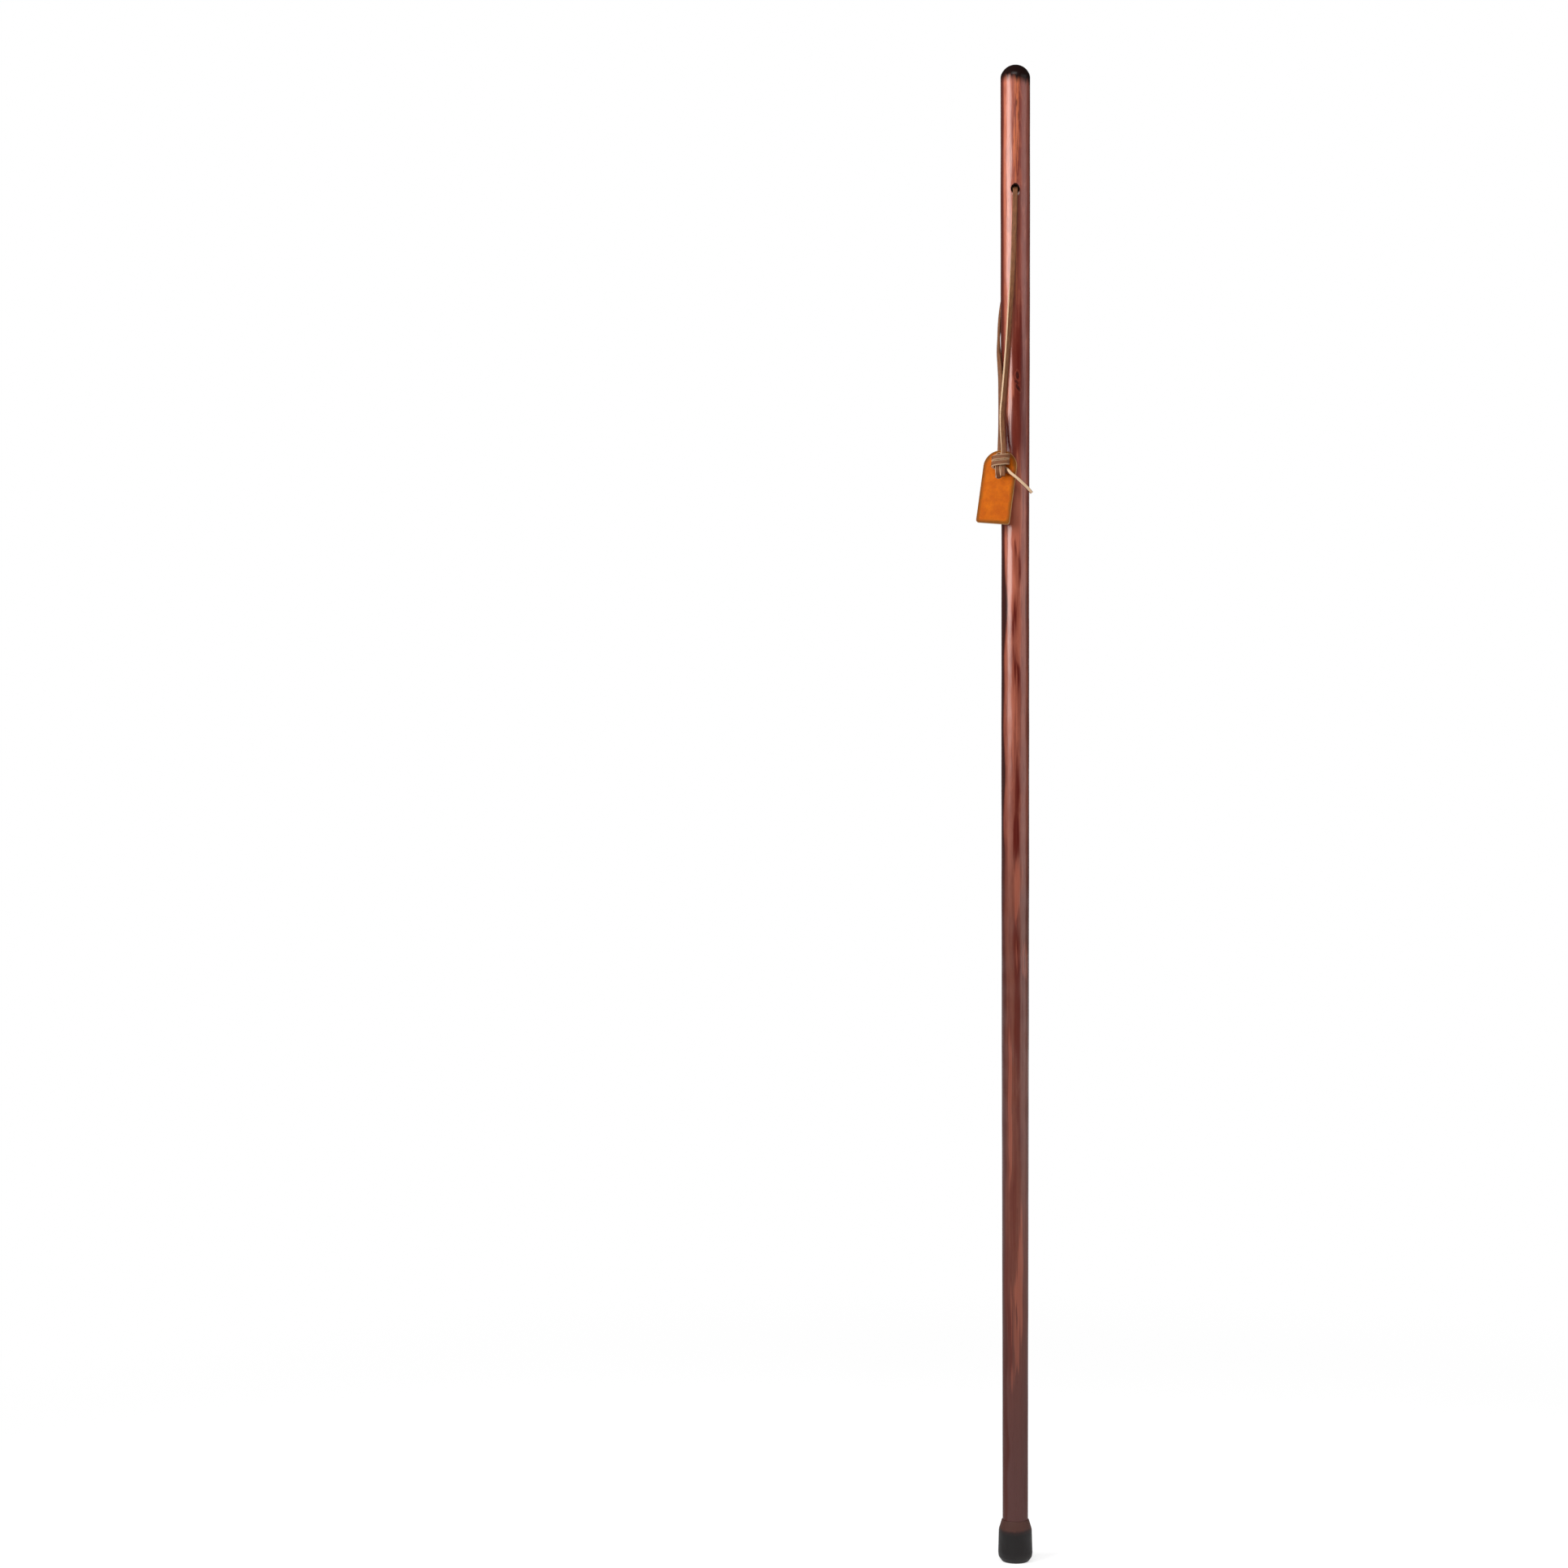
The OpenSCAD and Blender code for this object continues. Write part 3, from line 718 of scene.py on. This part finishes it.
# A painted line of shade along the left edge, in the dark knot colour
shade_line = wood.fade(towards(SHADE_LINE_SIDE), 0.9, 0.97, 0.0, 0.7)
for start, end in SHADE_LINE_ENDS:
    shade_line = wood.times(shade_line, wood.fade(height, start, end))
body = wood.mixed(shade_line, body, WOOD_KNOT_AND_SHADE)
pores = wood.streaks(spot, PORE_SCALE, 1.0)
body = stained(body, pores, 0.64, 0.76, 0.55, WOOD_DARK)
wineness = wood.times(wineness, wood.fade(bands, 0.36, 0.6, 0.86, 1.0))
body = wood.mixed(wineness, body, WOOD_WINE)
body = wood.mixed(paleness, body, WOOD_PALE)
body = wood.mixed(darkness, body, WOOD_KNOT_AND_SHADE)
print("wood nodes so far:", len(wood.tree.nodes))

# %% The dipped crown, partly painted shade
CROWN_STAIN_AND_SHADE = srgb(34, 18, 16)
CROWN_EDGE = 1.3832
CROWN_LOW_SIDE = -60
CROWN_LOWER = 0.003
RUN_SCALE = (260, 260, 20)

# The near-black crown is partly a stain and partly painted shade of the dome, which turns up away from
# the lamps; it reaches lower on the right
runs = wood.streaks(spot, RUN_SCALE, 3.0)
dip = wood.plus(height, wood.fade(runs, 0.3, 0.8, -0.001, 0.004))
dip = wood.plus(dip, wood.fade(towards(CROWN_LOW_SIDE), 0.0, 1.0, 0.0, CROWN_LOWER))
crown_share = wood.fade(dip, CROWN_EDGE - 0.005, CROWN_EDGE + 0.004)
body = wood.mixed(crown_share, body, CROWN_STAIN_AND_SHADE)
wood.put("Base Color", body)
print("the crown is dark above", CROWN_EDGE, "m")

# %% [markdown]
# ## The varnish
# Varnish is a clear skin over the wood. The main shader has a coat for that, with its own
# roughness and its own bump, so the wood below stays matt. The skin is worn thin towards the foot,
# dull on the crown, and sinks into the dark figure. It was brushed on and pooled, so its bump is
# broad and low, which lets the long highlight waver.

# %% Varnish over the wood
POOLING = 4.0
BRUSH_SCALE = (170, 170, 16)
POOL_SCALE = (110, 110, 45)

wood.put("Roughness", 0.5)
wood.put("Specular IOR Level", 0)
wood.put("Coat Roughness", 0.25)
wood.put("Coat IOR", 1.65)
varnish = wood.times(wood.fade(height, 0.1, 0.75, 0.3, 1.0), wood.fade(crown_share, 0.0, 1.0, 1.0, 0.3))
varnish = wood.times(varnish, wood.fade(wineness, 0.2, 1.0, 1.0, 0.4))
wood.put("Coat Weight", varnish)
wood.put("Normal", wood.relief(fibres, 0.1, 0.0002))
brushed = wood.streaks(spot, BRUSH_SCALE, 1.0)
pooled = wood.streaks(spot, POOL_SCALE, 0.0)
uneven = wood.plus(brushed, wood.times(pooled, POOLING))
wood.put("Coat Normal", wood.relief(uneven, 0.16, 0.001))
print("wood nodes:", len(wood.tree.nodes))

# %% [markdown]
# ## The shaft
# A shaft is turned on a lathe, so it is modelled as one: half a profile is spun round the axis.
# A turner never leaves it perfectly even, and neither does the sanding after, so the rings swell
# and shrink by a tenth of a millimetre, which lets the highlight waver as it does on real wood.

# %% A lathe
LATHE_STEPS = 96
MERGE_GAP = 0.0001
NEAR = 0.001


def turned(profile, steps):
    """Spin a half profile of (radius, height) pairs, in millimetres, into a closed mesh."""
    shape = bmesh.new()
    line = [shape.verts.new((radius, 0, level)) for radius, level in profile]
    edges = [shape.edges.new(pair) for pair in zip(line, line[1:])]
    bmesh.ops.spin(
        shape, geom=line + edges, axis=(0, 0, 1), cent=(0, 0, 0),
        angle=math.tau, steps=steps, use_merge=True,
    )
    bmesh.ops.remove_doubles(shape, verts=shape.verts[:], dist=MERGE_GAP)
    bmesh.ops.recalc_face_normals(shape, faces=shape.faces[:])
    return shape


def round_off(shape, radius, level, width, segments):
    """Bevel the edge that runs round a turned shape at a radius and a level."""
    ring = [
        edge for edge in shape.edges
        if all(abs(v.co.z - level) < NEAR and abs(v.co.xy.length - radius) < NEAR for v in edge.verts)
    ]
    bmesh.ops.bevel(
        shape, geom=ring, offset=width, segments=segments, profile=0.5, affect="EDGES", material=-1,
    )


def finished(name, shape, sharp_angle=40):
    """Turn a bmesh in millimetres into an object in metres, smooth but for its sharp edges."""
    bmesh.ops.scale(shape, vec=(MM, MM, MM), verts=shape.verts[:])
    for side in shape.faces:
        side.smooth = True
    for edge in shape.edges:
        if len(edge.link_faces) == 2:
            edge.smooth = edge.calc_face_angle() < math.radians(sharp_angle)
    return placed(name, shape)


# %% The shaft's profile, its crown and its foot
STAFF_H = 1397
CROWN_H = 12.2
KNUCKLE_R = 9
DOME_STEPS = 8
FOOT_Z = 12.5
FOOT_BEVEL = 1
FIRST_RING_Z = 24
RING_GAP = 8
EASE = 40

dome_z = STAFF_H - CROWN_H
dome_r = ((GRIP_R - KNUCKLE_R) ** 2 + CROWN_H ** 2 - KNUCKLE_R ** 2) / (2 * (CROWN_H - KNUCKLE_R))
dome_base = STAFF_H - dome_r
knuckle_turn = math.atan2(dome_r - CROWN_H, GRIP_R - KNUCKLE_R)

foot_r = shaft_radius(0)
shaft_profile = [(0, FOOT_Z), (foot_r - FOOT_BEVEL, FOOT_Z), (foot_r, FOOT_Z + FOOT_BEVEL)]
level = FIRST_RING_Z
while level < dome_z - RING_GAP / 2:
    eased = [shaft_radius(level + EASE * share) for share in (-1, -0.5, 0, 0.5, 1)]
    shaft_profile.append((sum(eased) / len(eased), level))
    level += RING_GAP
for step in range(DOME_STEPS + 1):
    turn = knuckle_turn * step / DOME_STEPS
    radius = GRIP_R - KNUCKLE_R + KNUCKLE_R * math.cos(turn)
    shaft_profile.append((radius, dome_z + KNUCKLE_R * math.sin(turn)))
for step in range(1, DOME_STEPS + 1):
    turn = knuckle_turn + (math.pi / 2 - knuckle_turn) * step / DOME_STEPS
    radius = dome_r * math.cos(turn) if step < DOME_STEPS else 0
    shaft_profile.append((radius, dome_base + dome_r * math.sin(turn)))
print("shaft profile:", len(shaft_profile), "points, dome radius", round(dome_r, 1), "mm")

# %% The shaft, turned and a little uneven
UNEVEN = 0.12
SWELL_ROUND = 0.05
SWELL_ALONG = 0.02
EVEN_BELOW = 60
AXIS_R = 1

shaft_shape = turned(shaft_profile, LATHE_STEPS)
for vert in shaft_shape.verts:
    swell = noise.noise(
        Vector((vert.co.x * SWELL_ROUND, vert.co.y * SWELL_ROUND, vert.co.z * SWELL_ALONG))
    )
    flat = vert.co.xy
    if flat.length > AXIS_R and vert.co.z > EVEN_BELOW:
        vert.co.xy = flat * (1 + UNEVEN * swell / flat.length)
shaft = finished("turned_shaft", shaft_shape)
print("shaft:", len(shaft.data.polygons), "faces")

# %% A bit for the lanyard hole, with flares for its worn mouths
HOLE_R = 3.9
MOUTH_R = 5.1
MOUTH_DEEP = 2.2
MOUTH_STEPS = 5
BIT_FLARE = 1.2
BIT_PAST = 1
BIT_STEPS = 48

spindle = []
for side in (-1, 1):
    mouth = [(HOLE_R, side * (GRIP_R - MOUTH_DEEP))]
    for step in range(1, MOUTH_STEPS + 1):
        turn = math.radians(90) * step / MOUTH_STEPS
        flare = HOLE_R + (MOUTH_R - HOLE_R) * (1 - math.cos(turn))
        mouth.append((flare, side * (GRIP_R - MOUTH_DEEP + MOUTH_DEEP * math.sin(turn))))
    mouth += [(MOUTH_R + BIT_FLARE, side * (GRIP_R + BIT_PAST)), (0, side * (GRIP_R + BIT_PAST))]
    spindle = spindle[::-1] + mouth
bit_shape = turned(spindle, BIT_STEPS)
lying = Matrix.Rotation(math.radians(90), 3, "X")
bmesh.ops.rotate(bit_shape, verts=bit_shape.verts[:], matrix=lying)
bmesh.ops.translate(bit_shape, verts=bit_shape.verts[:], vec=(0, 0, HOLE_Z))
bit = finished("bit", bit_shape)
print("bit:", len(bit.data.polygons), "faces")

# %% The hole, bored through, with torn wood inside and painted shade
bore_shade = Recipe("bore_painted_shade")
torn = bore_shade.streaks(bore_shade.spot(), (900, 120, 900), 4.0, 0.6)
# The near-black inside of the bore is painted shade of the deep hole over torn raw wood
bore_shade.put("Base Color", bore_shade.mixed(torn, srgb(34, 17, 14), srgb(70, 36, 27)))
bore_shade.put("Normal", bore_shade.relief(torn, 0.4, 0.0004))
bore_shade.put("Roughness", 0.9)
bore_shade.put("Specular IOR Level", 0.1)
shaft.data.materials.append(wood.finish)
bit.data.materials.append(bore_shade.finish)

bore = shaft.modifiers.new("bore", "BOOLEAN")
bore.operation = "DIFFERENCE"
bore.solver = "EXACT"
bore.material_mode = "TRANSFER"
bore.object = bit
bored = bpy.data.meshes.new_from_object(shaft.evaluated_get(bpy.context.evaluated_depsgraph_get()))
shaft.modifiers.clear()
shaft.data = bored
bpy.data.objects.remove(bit)
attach(shaft, "staff")
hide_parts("shaft")
print("bored shaft:", len(shaft.data.polygons), "faces of", len(shaft.data.materials), "finishes")

# %% [markdown]
# ## The ferrule
# The tip is moulded in black rubber and pushed over the foot. Moulded rubber has no sharp
# edge anywhere, so its profile is spun and every edge is rounded. A brown band on its upturned
# shoulder is a painted sheen, laid on as dust, and the heel is scuffed, which keeps the black from
# looking like a hole in the picture.

# %% The ferrule's shape
FERRULE_H = 39
FERRULE_R = 16
COLLAR_R = 15.4
SHOULDER_H = 9
LIP_WALL = 0.7
HEEL_H = 6.5
TREAD_R = 12.2
SOLE_T = 11
SOCKET_R = 11.9
GROOVE_W = 1.5
GROOVE_DEEP = 1.2

groove_step = 2 * TREAD_R / 6
heel_round = HEEL_H * 0.3
heel_r = FERRULE_R - heel_round / 4
lip_r = SOCKET_R + LIP_WALL
collar_z = FERRULE_H - SHOULDER_H
grooves = []
for count in (1, 2):
    inner, outer = count * groove_step, count * groove_step + GROOVE_W
    grooves += [(inner, 0), (inner, GROOVE_DEEP), (outer, GROOVE_DEEP), (outer, 0)]
ferrule_shape = turned([
    (0, 0), *grooves, (TREAD_R, 0), (heel_r, HEEL_H - heel_round), (FERRULE_R, HEEL_H + heel_round),
    (COLLAR_R, collar_z), (lip_r, FERRULE_H), (SOCKET_R, FERRULE_H), (SOCKET_R, SOLE_T), (0, SOLE_T),
], LATHE_STEPS)

# Radius and level of each edge, how far it is rounded, and in how many segments
for radius, level, width, segments in [
    (TREAD_R, 0, 0.8, 3), (heel_r, HEEL_H - heel_round, 0.7, 3),
    (FERRULE_R, HEEL_H + heel_round, 0.7, 3), (COLLAR_R, collar_z, 1.4, 4), (lip_r, FERRULE_H, 0.3, 3),
]:
    round_off(ferrule_shape, radius, level, width, segments)
ferrule = finished("rubber_ferrule", ferrule_shape)
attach(ferrule, "tip")
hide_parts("ferrule")
print("ferrule:", len(ferrule.data.polygons), "faces")

# %% Rubber
RUBBER_BLACK, RUBBER_GREY = srgb(26, 24, 24), srgb(42, 38, 38)
SHOULDER_SHEEN_EDGE, SHOULDER_SHEEN = srgb(70, 44, 42), srgb(94, 60, 52)
SCUFF = srgb(72, 70, 68)

rubber = Recipe("black_rubber")
spot = rubber.spot()
level = rubber.part(spot, 2)
pitting = rubber.grain(spot, 1400.0, 4.0, 0.65)
smears = rubber.streaks(spot, (90, 90, 60), 4.0, 0.6)
coat = rubber.mixed(smears, RUBBER_BLACK, RUBBER_GREY)
ragged = rubber.plus(level, rubber.fade(smears, 0.2, 0.8, -0.0015, 0.0015))
# The brown band on the shoulder is a painted sheen of light on the upturned rim, laid on as dust
coat = rubber.mixed(rubber.fade(ragged, 0.026, 0.0295, 0.0, 0.3), coat, SHOULDER_SHEEN_EDGE)
coat = rubber.mixed(rubber.fade(ragged, 0.029, 0.0325, 0.0, 0.92), coat, SHOULDER_SHEEN)
scuffed = rubber.times(rubber.fade(level, 0.010, 0.002), rubber.fade(smears, 0.4, 0.7))
coat = rubber.mixed(rubber.times(scuffed, 0.4), coat, SCUFF)
rubber.put("Base Color", coat)
rubber.put("Specular IOR Level", 0.3)
rubber.put("Roughness", rubber.fade(smears, 0.2, 0.8, 0.5, 0.72))
rubber.put("Normal", rubber.relief(pitting, 0.25, 0.0002))
ferrule.data.materials.append(rubber.finish)
print("rubber nodes:", len(rubber.tree.nodes))

# %% [markdown]
# ## The washer
# A steel washer lies at the bottom of the socket, so that the wood doesn't punch through the
# rubber. It only shows when the ferrule is pulled off, so its solid stays and gets a plain
# turned-steel finish.

# %% Washer steel
STEEL_DULL, STEEL_BRIGHT = srgb(150, 152, 154), srgb(205, 206, 208)

steel = Recipe("washer_steel")
worn = steel.grain(steel.spot(), 600.0, 5.0, 0.6)
steel.put("Base Color", steel.mixed(worn, STEEL_DULL, STEEL_BRIGHT))
steel.put("Metallic", 1)
steel.put("Roughness", steel.fade(worn, 0.3, 0.7, 0.28, 0.5))
washer = frame["nodes"]["ferrule_washer"]
washer.data.materials.clear()
washer.data.materials.append(steel.finish)

# %% [markdown]
# ## The tag
# The tag is cut from thick oiled leather, with an arched top and a punched hole. One face with
# bevelled corners gives the outline, a ring of faces joins it to the hole, and that sheet gets
# its thickness and soft rims. A number on each point says how far it lies from the cut, because
# leather is darker and burnished near its edge.

# %% The tag's sheet
TAG_W = 31.8
TAG_H = 70
TAG_CORNER_R = 2.5
TAG_HOLE_R = 3.2
TAG_HOLE_DROP = 24
ARCH_STEPS = 28
CORNER_STEPS = 5
LONG_SIDE = 10
SIDE_CUTS = 23
SPOKE_CUTS = 9
OUTLINE_MERGE = 0.01

arch_r = TAG_W / 2
tag_foot = TAG_H - TAG_HOLE_DROP
tag_shape = bmesh.new()
corners = [
    tag_shape.verts.new((side * arch_r, level, 0))
    for side, level in [(-1, -tag_foot), (1, -tag_foot), (1, TAG_HOLE_DROP), (-1, TAG_HOLE_DROP)]
]
tag_shape.faces.new(corners)
for pair, size, count in [
    (corners[2:], arch_r - NEAR, ARCH_STEPS), (corners[:2], TAG_CORNER_R, CORNER_STEPS),
]:
    bmesh.ops.bevel(
        tag_shape, geom=pair, offset=size, segments=count, profile=0.5, affect="VERTICES", material=-1,
    )
bmesh.ops.remove_doubles(tag_shape, verts=tag_shape.verts[:], dist=OUTLINE_MERGE)
sides = [edge for edge in tag_shape.edges if edge.calc_length() > LONG_SIDE]
bmesh.ops.subdivide_edges(tag_shape, edges=sides, cuts=SIDE_CUTS)
bmesh.ops.delete(tag_shape, geom=tag_shape.faces[:], context="FACES_ONLY")
outline = tag_shape.edges[:]
bmesh.ops.create_circle(tag_shape, cap_ends=False, radius=TAG_HOLE_R, segments=len(outline))
bmesh.ops.bridge_loops(tag_shape, edges=tag_shape.edges[:])
spokes = [edge for edge in tag_shape.edges if len(edge.link_faces) == 2]
bmesh.ops.subdivide_edges(tag_shape, edges=spokes, cuts=SPOKE_CUTS, use_grid_fill=True)
bmesh.ops.recalc_face_normals(tag_shape, faces=tag_shape.faces[:])
print("tag sheet:", len(tag_shape.faces), "faces")

# %% Its thickness, its soft rims and its place
TAG_TILT = 5.5
RIM_ROUND = 0.5
RIM_ANGLE = 1
FLAT_FACE = 0.8
TAG_SHARP = 50
arch_rise = TAG_HOLE_DROP - arch_r


def from_cut(x, y):
    """How far a point of the tag lies inside its outline."""
    if y > arch_rise:
        return arch_r - math.hypot(x, y - arch_rise)
    return min(arch_r - abs(x), y + tag_foot)


sheet = tag_shape.faces[:]
raised = bmesh.ops.extrude_face_region(tag_shape, geom=sheet)["geom"]
lifted = [part for part in raised if isinstance(part, bmesh.types.BMVert)]
bmesh.ops.translate(tag_shape, verts=lifted, vec=(0, 0, TAG_T))
bmesh.ops.translate(tag_shape, verts=tag_shape.verts[:], vec=(0, 0, -TAG_T / 2))
bmesh.ops.recalc_face_normals(tag_shape, faces=tag_shape.faces[:])
rims = [e for e in tag_shape.edges if len(e.link_faces) == 2 and e.calc_face_angle() > RIM_ANGLE]
bmesh.ops.bevel(
    tag_shape, geom=rims, offset=RIM_ROUND, segments=3, profile=0.5, affect="EDGES", material=-1,
)
edge_layer = tag_shape.verts.layers.float.new("tag_from_cut")
for vert in tag_shape.verts:
    vert[edge_layer] = from_cut(vert.co.x, vert.co.y) * MM
for side in tag_shape.faces:
    side.material_index = 1 if abs(side.normal.z) < FLAT_FACE else 0
hang = Matrix((tag_right, tag_up, tag_out)).transposed().to_4x4()
hang.translation = tag_middle
tilt = Matrix.Rotation(math.radians(-TAG_TILT), 4, "Z")
bmesh.ops.transform(tag_shape, matrix=hang @ tilt, verts=tag_shape.verts[:])
tag = finished("leather_tag", tag_shape, TAG_SHARP)
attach(tag, "tag")
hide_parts("tag")
print("tag:", len(tag.data.polygons), "faces")

# %% [markdown]
# ## Leather
# The tag's face has a fine pebbled grain, which is a cell pattern for the bump, and clouds of
# darker oil. The lace is dyed brown and has a short nap, which is fine noise. Cut edges show the
# pale fibres inside: the tag's rim, both edges of the back strand near the tag, and one edge of
# the front strand some way below the hole.

# %% The tag's face and its cut edge
TAN, TAN_OILED = srgb(224, 114, 3), srgb(198, 92, 1)
TAN_SPECK, TAN_BURNISHED = srgb(146, 66, 4), srgb(118, 72, 16)
RIM_PALE, RIM_BROWN = srgb(226, 176, 124), srgb(176, 118, 66)

hide = Recipe("tag_leather")
spot = hide.spot()
inside = hide.number("tag_from_cut")
clouds = hide.grain(spot, 110.0, 4.0, 0.6)
speckle = hide.grain(spot, 900.0, 3.0, 0.6)
oiled = hide.mixed(hide.fade(clouds, 0.3, 0.7), TAN, TAN_OILED)
oiled = hide.mixed(hide.fade(speckle, 0.5, 0.75, 0.0, 0.25), oiled, TAN_SPECK)
burnish = hide.plus(inside, hide.fade(clouds, 0.3, 0.7, -0.0008, 0.0008))
oiled = hide.mixed(hide.fade(burnish, 0.0045, 0.0004, 0.0, 0.85), oiled, TAN_BURNISHED)
hide.put("Base Color", oiled)
hide.put("Specular IOR Level", 0.1)
hide.put("Roughness", hide.fade(speckle, 0.3, 0.7, 0.42, 0.6))
pebbles = hide.wire("TexVoronoi", {"Vector": spot, "Scale": 1500.0}, feature="SMOOTH_F1").outputs[0]
hide.put("Normal", hide.relief(pebbles, 0.22, 0.0003))

rim = Recipe("tag_cut_edge")
nap = rim.grain(rim.spot(), 1600.0, 4.0, 0.65)
rim.put("Base Color", rim.mixed(nap, RIM_PALE, RIM_BROWN))
rim.put("Roughness", 0.8)
rim.put("Normal", rim.relief(nap, 0.4, 0.0003))
tag.data.materials.append(hide.finish)
tag.data.materials.append(rim.finish)
print("tag finishes:", len(tag.data.materials))

# %% The lace
LACE_LIGHT, LACE_DARK, LACE_NAP = srgb(145, 93, 60), srgb(116, 73, 45), srgb(90, 57, 36)
CUT_PALE, CUT_TAN = srgb(250, 220, 186), srgb(216, 172, 130)

lace = Recipe("lace_leather")
spot = lace.spot()
across = lace.number("lace_across")
depth = lace.number("lace_depth")
along = lace.number("lace_along")
run = lace.wire("CombineXYZ", {
    0: lace.times(along, 160.0), 1: lace.times(across, 1.6), 2: lace.times(depth, 1.0),
}).outputs[0]
dye = lace.grain(run, 1.0, 4.0, 0.6)
nap = lace.grain(spot, 1500.0, 4.0, 0.65)
skin = lace.mixed(lace.fade(dye, 0.3, 0.7), LACE_LIGHT, LACE_DARK)
skin = lace.mixed(lace.fade(nap, 0.55, 0.8, 0.0, 0.5), skin, LACE_NAP)
cut = lace.calc("ABSOLUTE", across)
cut = lace.plus(cut, lace.fade(nap, 0.3, 0.7, -0.03, 0.03))
pale = lace.mixed(nap, CUT_PALE, CUT_TAN)
bare = lace.number("lace_pale")
skin = lace.mixed(lace.times(bare, lace.fade(cut, 0.7, 0.86)), skin, pale)
lace.put("Base Color", skin)
lace.put("Specular IOR Level", 0.25)
lace.put("Roughness", lace.fade(nap, 0.3, 0.7, 0.5, 0.75))
lace.put("Normal", lace.relief(nap, 0.3, 0.0003))
front_strand.data.materials.append(lace.finish)
back_strand.data.materials.append(lace.finish)
print("lace nodes:", len(lace.tree.nodes))

# %% [markdown]
# ## Light, floor and background
# Three soft boxes light the staff. A broad one at the left, level with the grip, draws the long
# highlight on the upper half of the varnish, which ends where the box ends. A high one in front
# lights the colours and isn't mirrored. A weak one fills from the right. White paper hangs behind
# the staff and lies under it: it is white to the eye and in what the object mirrors. The other
# corners of the room are mirrored dark, so that the varnish keeps its depth.

# %% Soft boxes
# Name, place, the point it is turned to, width and height, and glow, where 1 is as bright as white paper
SOFT_BOXES = [
    ("strip_left", (-1.08, -0.91, 1.35), (0, 0, 1.35), (1.0, 0.98), 5.6),
    ("high_front", (-0.2, -2.4, 2.9), (0, 0, 1.0), (1.6, 1.2), 4),
    ("fill_right", (1.32, -0.46, 0.95), (0, 0, 0.95), (1.3, 1.8), 1.0),
]
for name, place, aim, size, glow in SOFT_BOXES:
    light = bpy.data.lights.new(name, "AREA")
    light.shape = "RECTANGLE"
    light.size, light.size_y = size
    light.energy = glow * math.pi * size[0] * size[1]
    box = bpy.data.objects.new(name, light)
    box.location = place
    box.rotation_euler = (Vector(aim) - Vector(place)).to_track_quat("-Z", "Y").to_euler()
    bpy.context.scene.collection.objects.link(box)
print("soft boxes:", len(SOFT_BOXES))

# %% Paper on the floor
FLOOR_SIZE = 12
PAPER_TOP_UP = 0.64
PAPER_NEAR, PAPER_FAR = 0.2, 1.6
BLACK, PAPER_GREY, WHITE = (0, 0, 0, 1), (0.8, 0.8, 0.8, 1), (1, 1, 1, 1)

floor_shape = bmesh.new()
bmesh.ops.create_grid(floor_shape, x_segments=1, y_segments=1, size=FLOOR_SIZE / 2)
floor = placed("floor", floor_shape)


def rays(recipe):
    """Whether the eye sees a thing straight on, and whether it sees it mirrored or through glass."""
    path = recipe.wire("LightPath", {}).outputs
    return path["Is Camera Ray"], recipe.larger(path["Is Glossy Ray"], path["Is Transmission Ray"])


paper = Recipe("floor_paper")
away = paper.vector("LENGTH", paper.spot())[1]
near = paper.fade(away, PAPER_FAR, PAPER_NEAR)
paper.put("Base Color", paper.mixed(near, BLACK, PAPER_GREY))
paper.put("Roughness", 1)
paper.put("Specular IOR Level", 0)
paper.put("Emission Color", WHITE)
eye_ray, shiny_ray = rays(paper)
top_up = paper.fade(near, 0.0, 1.0, 1.0, PAPER_TOP_UP, "LINEAR")
paper.put("Emission Strength", paper.times(paper.larger(eye_ray, shiny_ray), top_up))
floor.data.materials.append(paper.finish)
print("floor paper", FLOOR_SIZE, "m across")

# %% White paper behind the staff, in a dimmer room
ROOM_LIGHT = 0.2
DARK_CORNERS = 0.07
PAPER_EDGE, PAPER_FULL = 0.9, 0.96

sky = Recipe("white_room", "worlds", "Background")
bpy.context.scene.world = sky.finish
eye_ray, shiny_ray = rays(sky)
direction = sky.wire("TexCoord", {}).outputs["Generated"]
behind = sky.fade(sky.part(direction, 1), PAPER_EDGE, PAPER_FULL)
mirrored = sky.times(shiny_ray, sky.fade(behind, 0.0, 1.0, DARK_CORNERS, 1.0, "LINEAR"))
lit = sky.fade(shiny_ray, 0.0, 1.0, ROOM_LIGHT, 0.0, "LINEAR")
sky.put("Color", WHITE)
sky.put("Strength", sky.larger(eye_ray, sky.larger(mirrored, lit)))
bpy.context.scene.view_settings.view_transform = "Standard"
print("room nodes:", len(sky.tree.nodes))
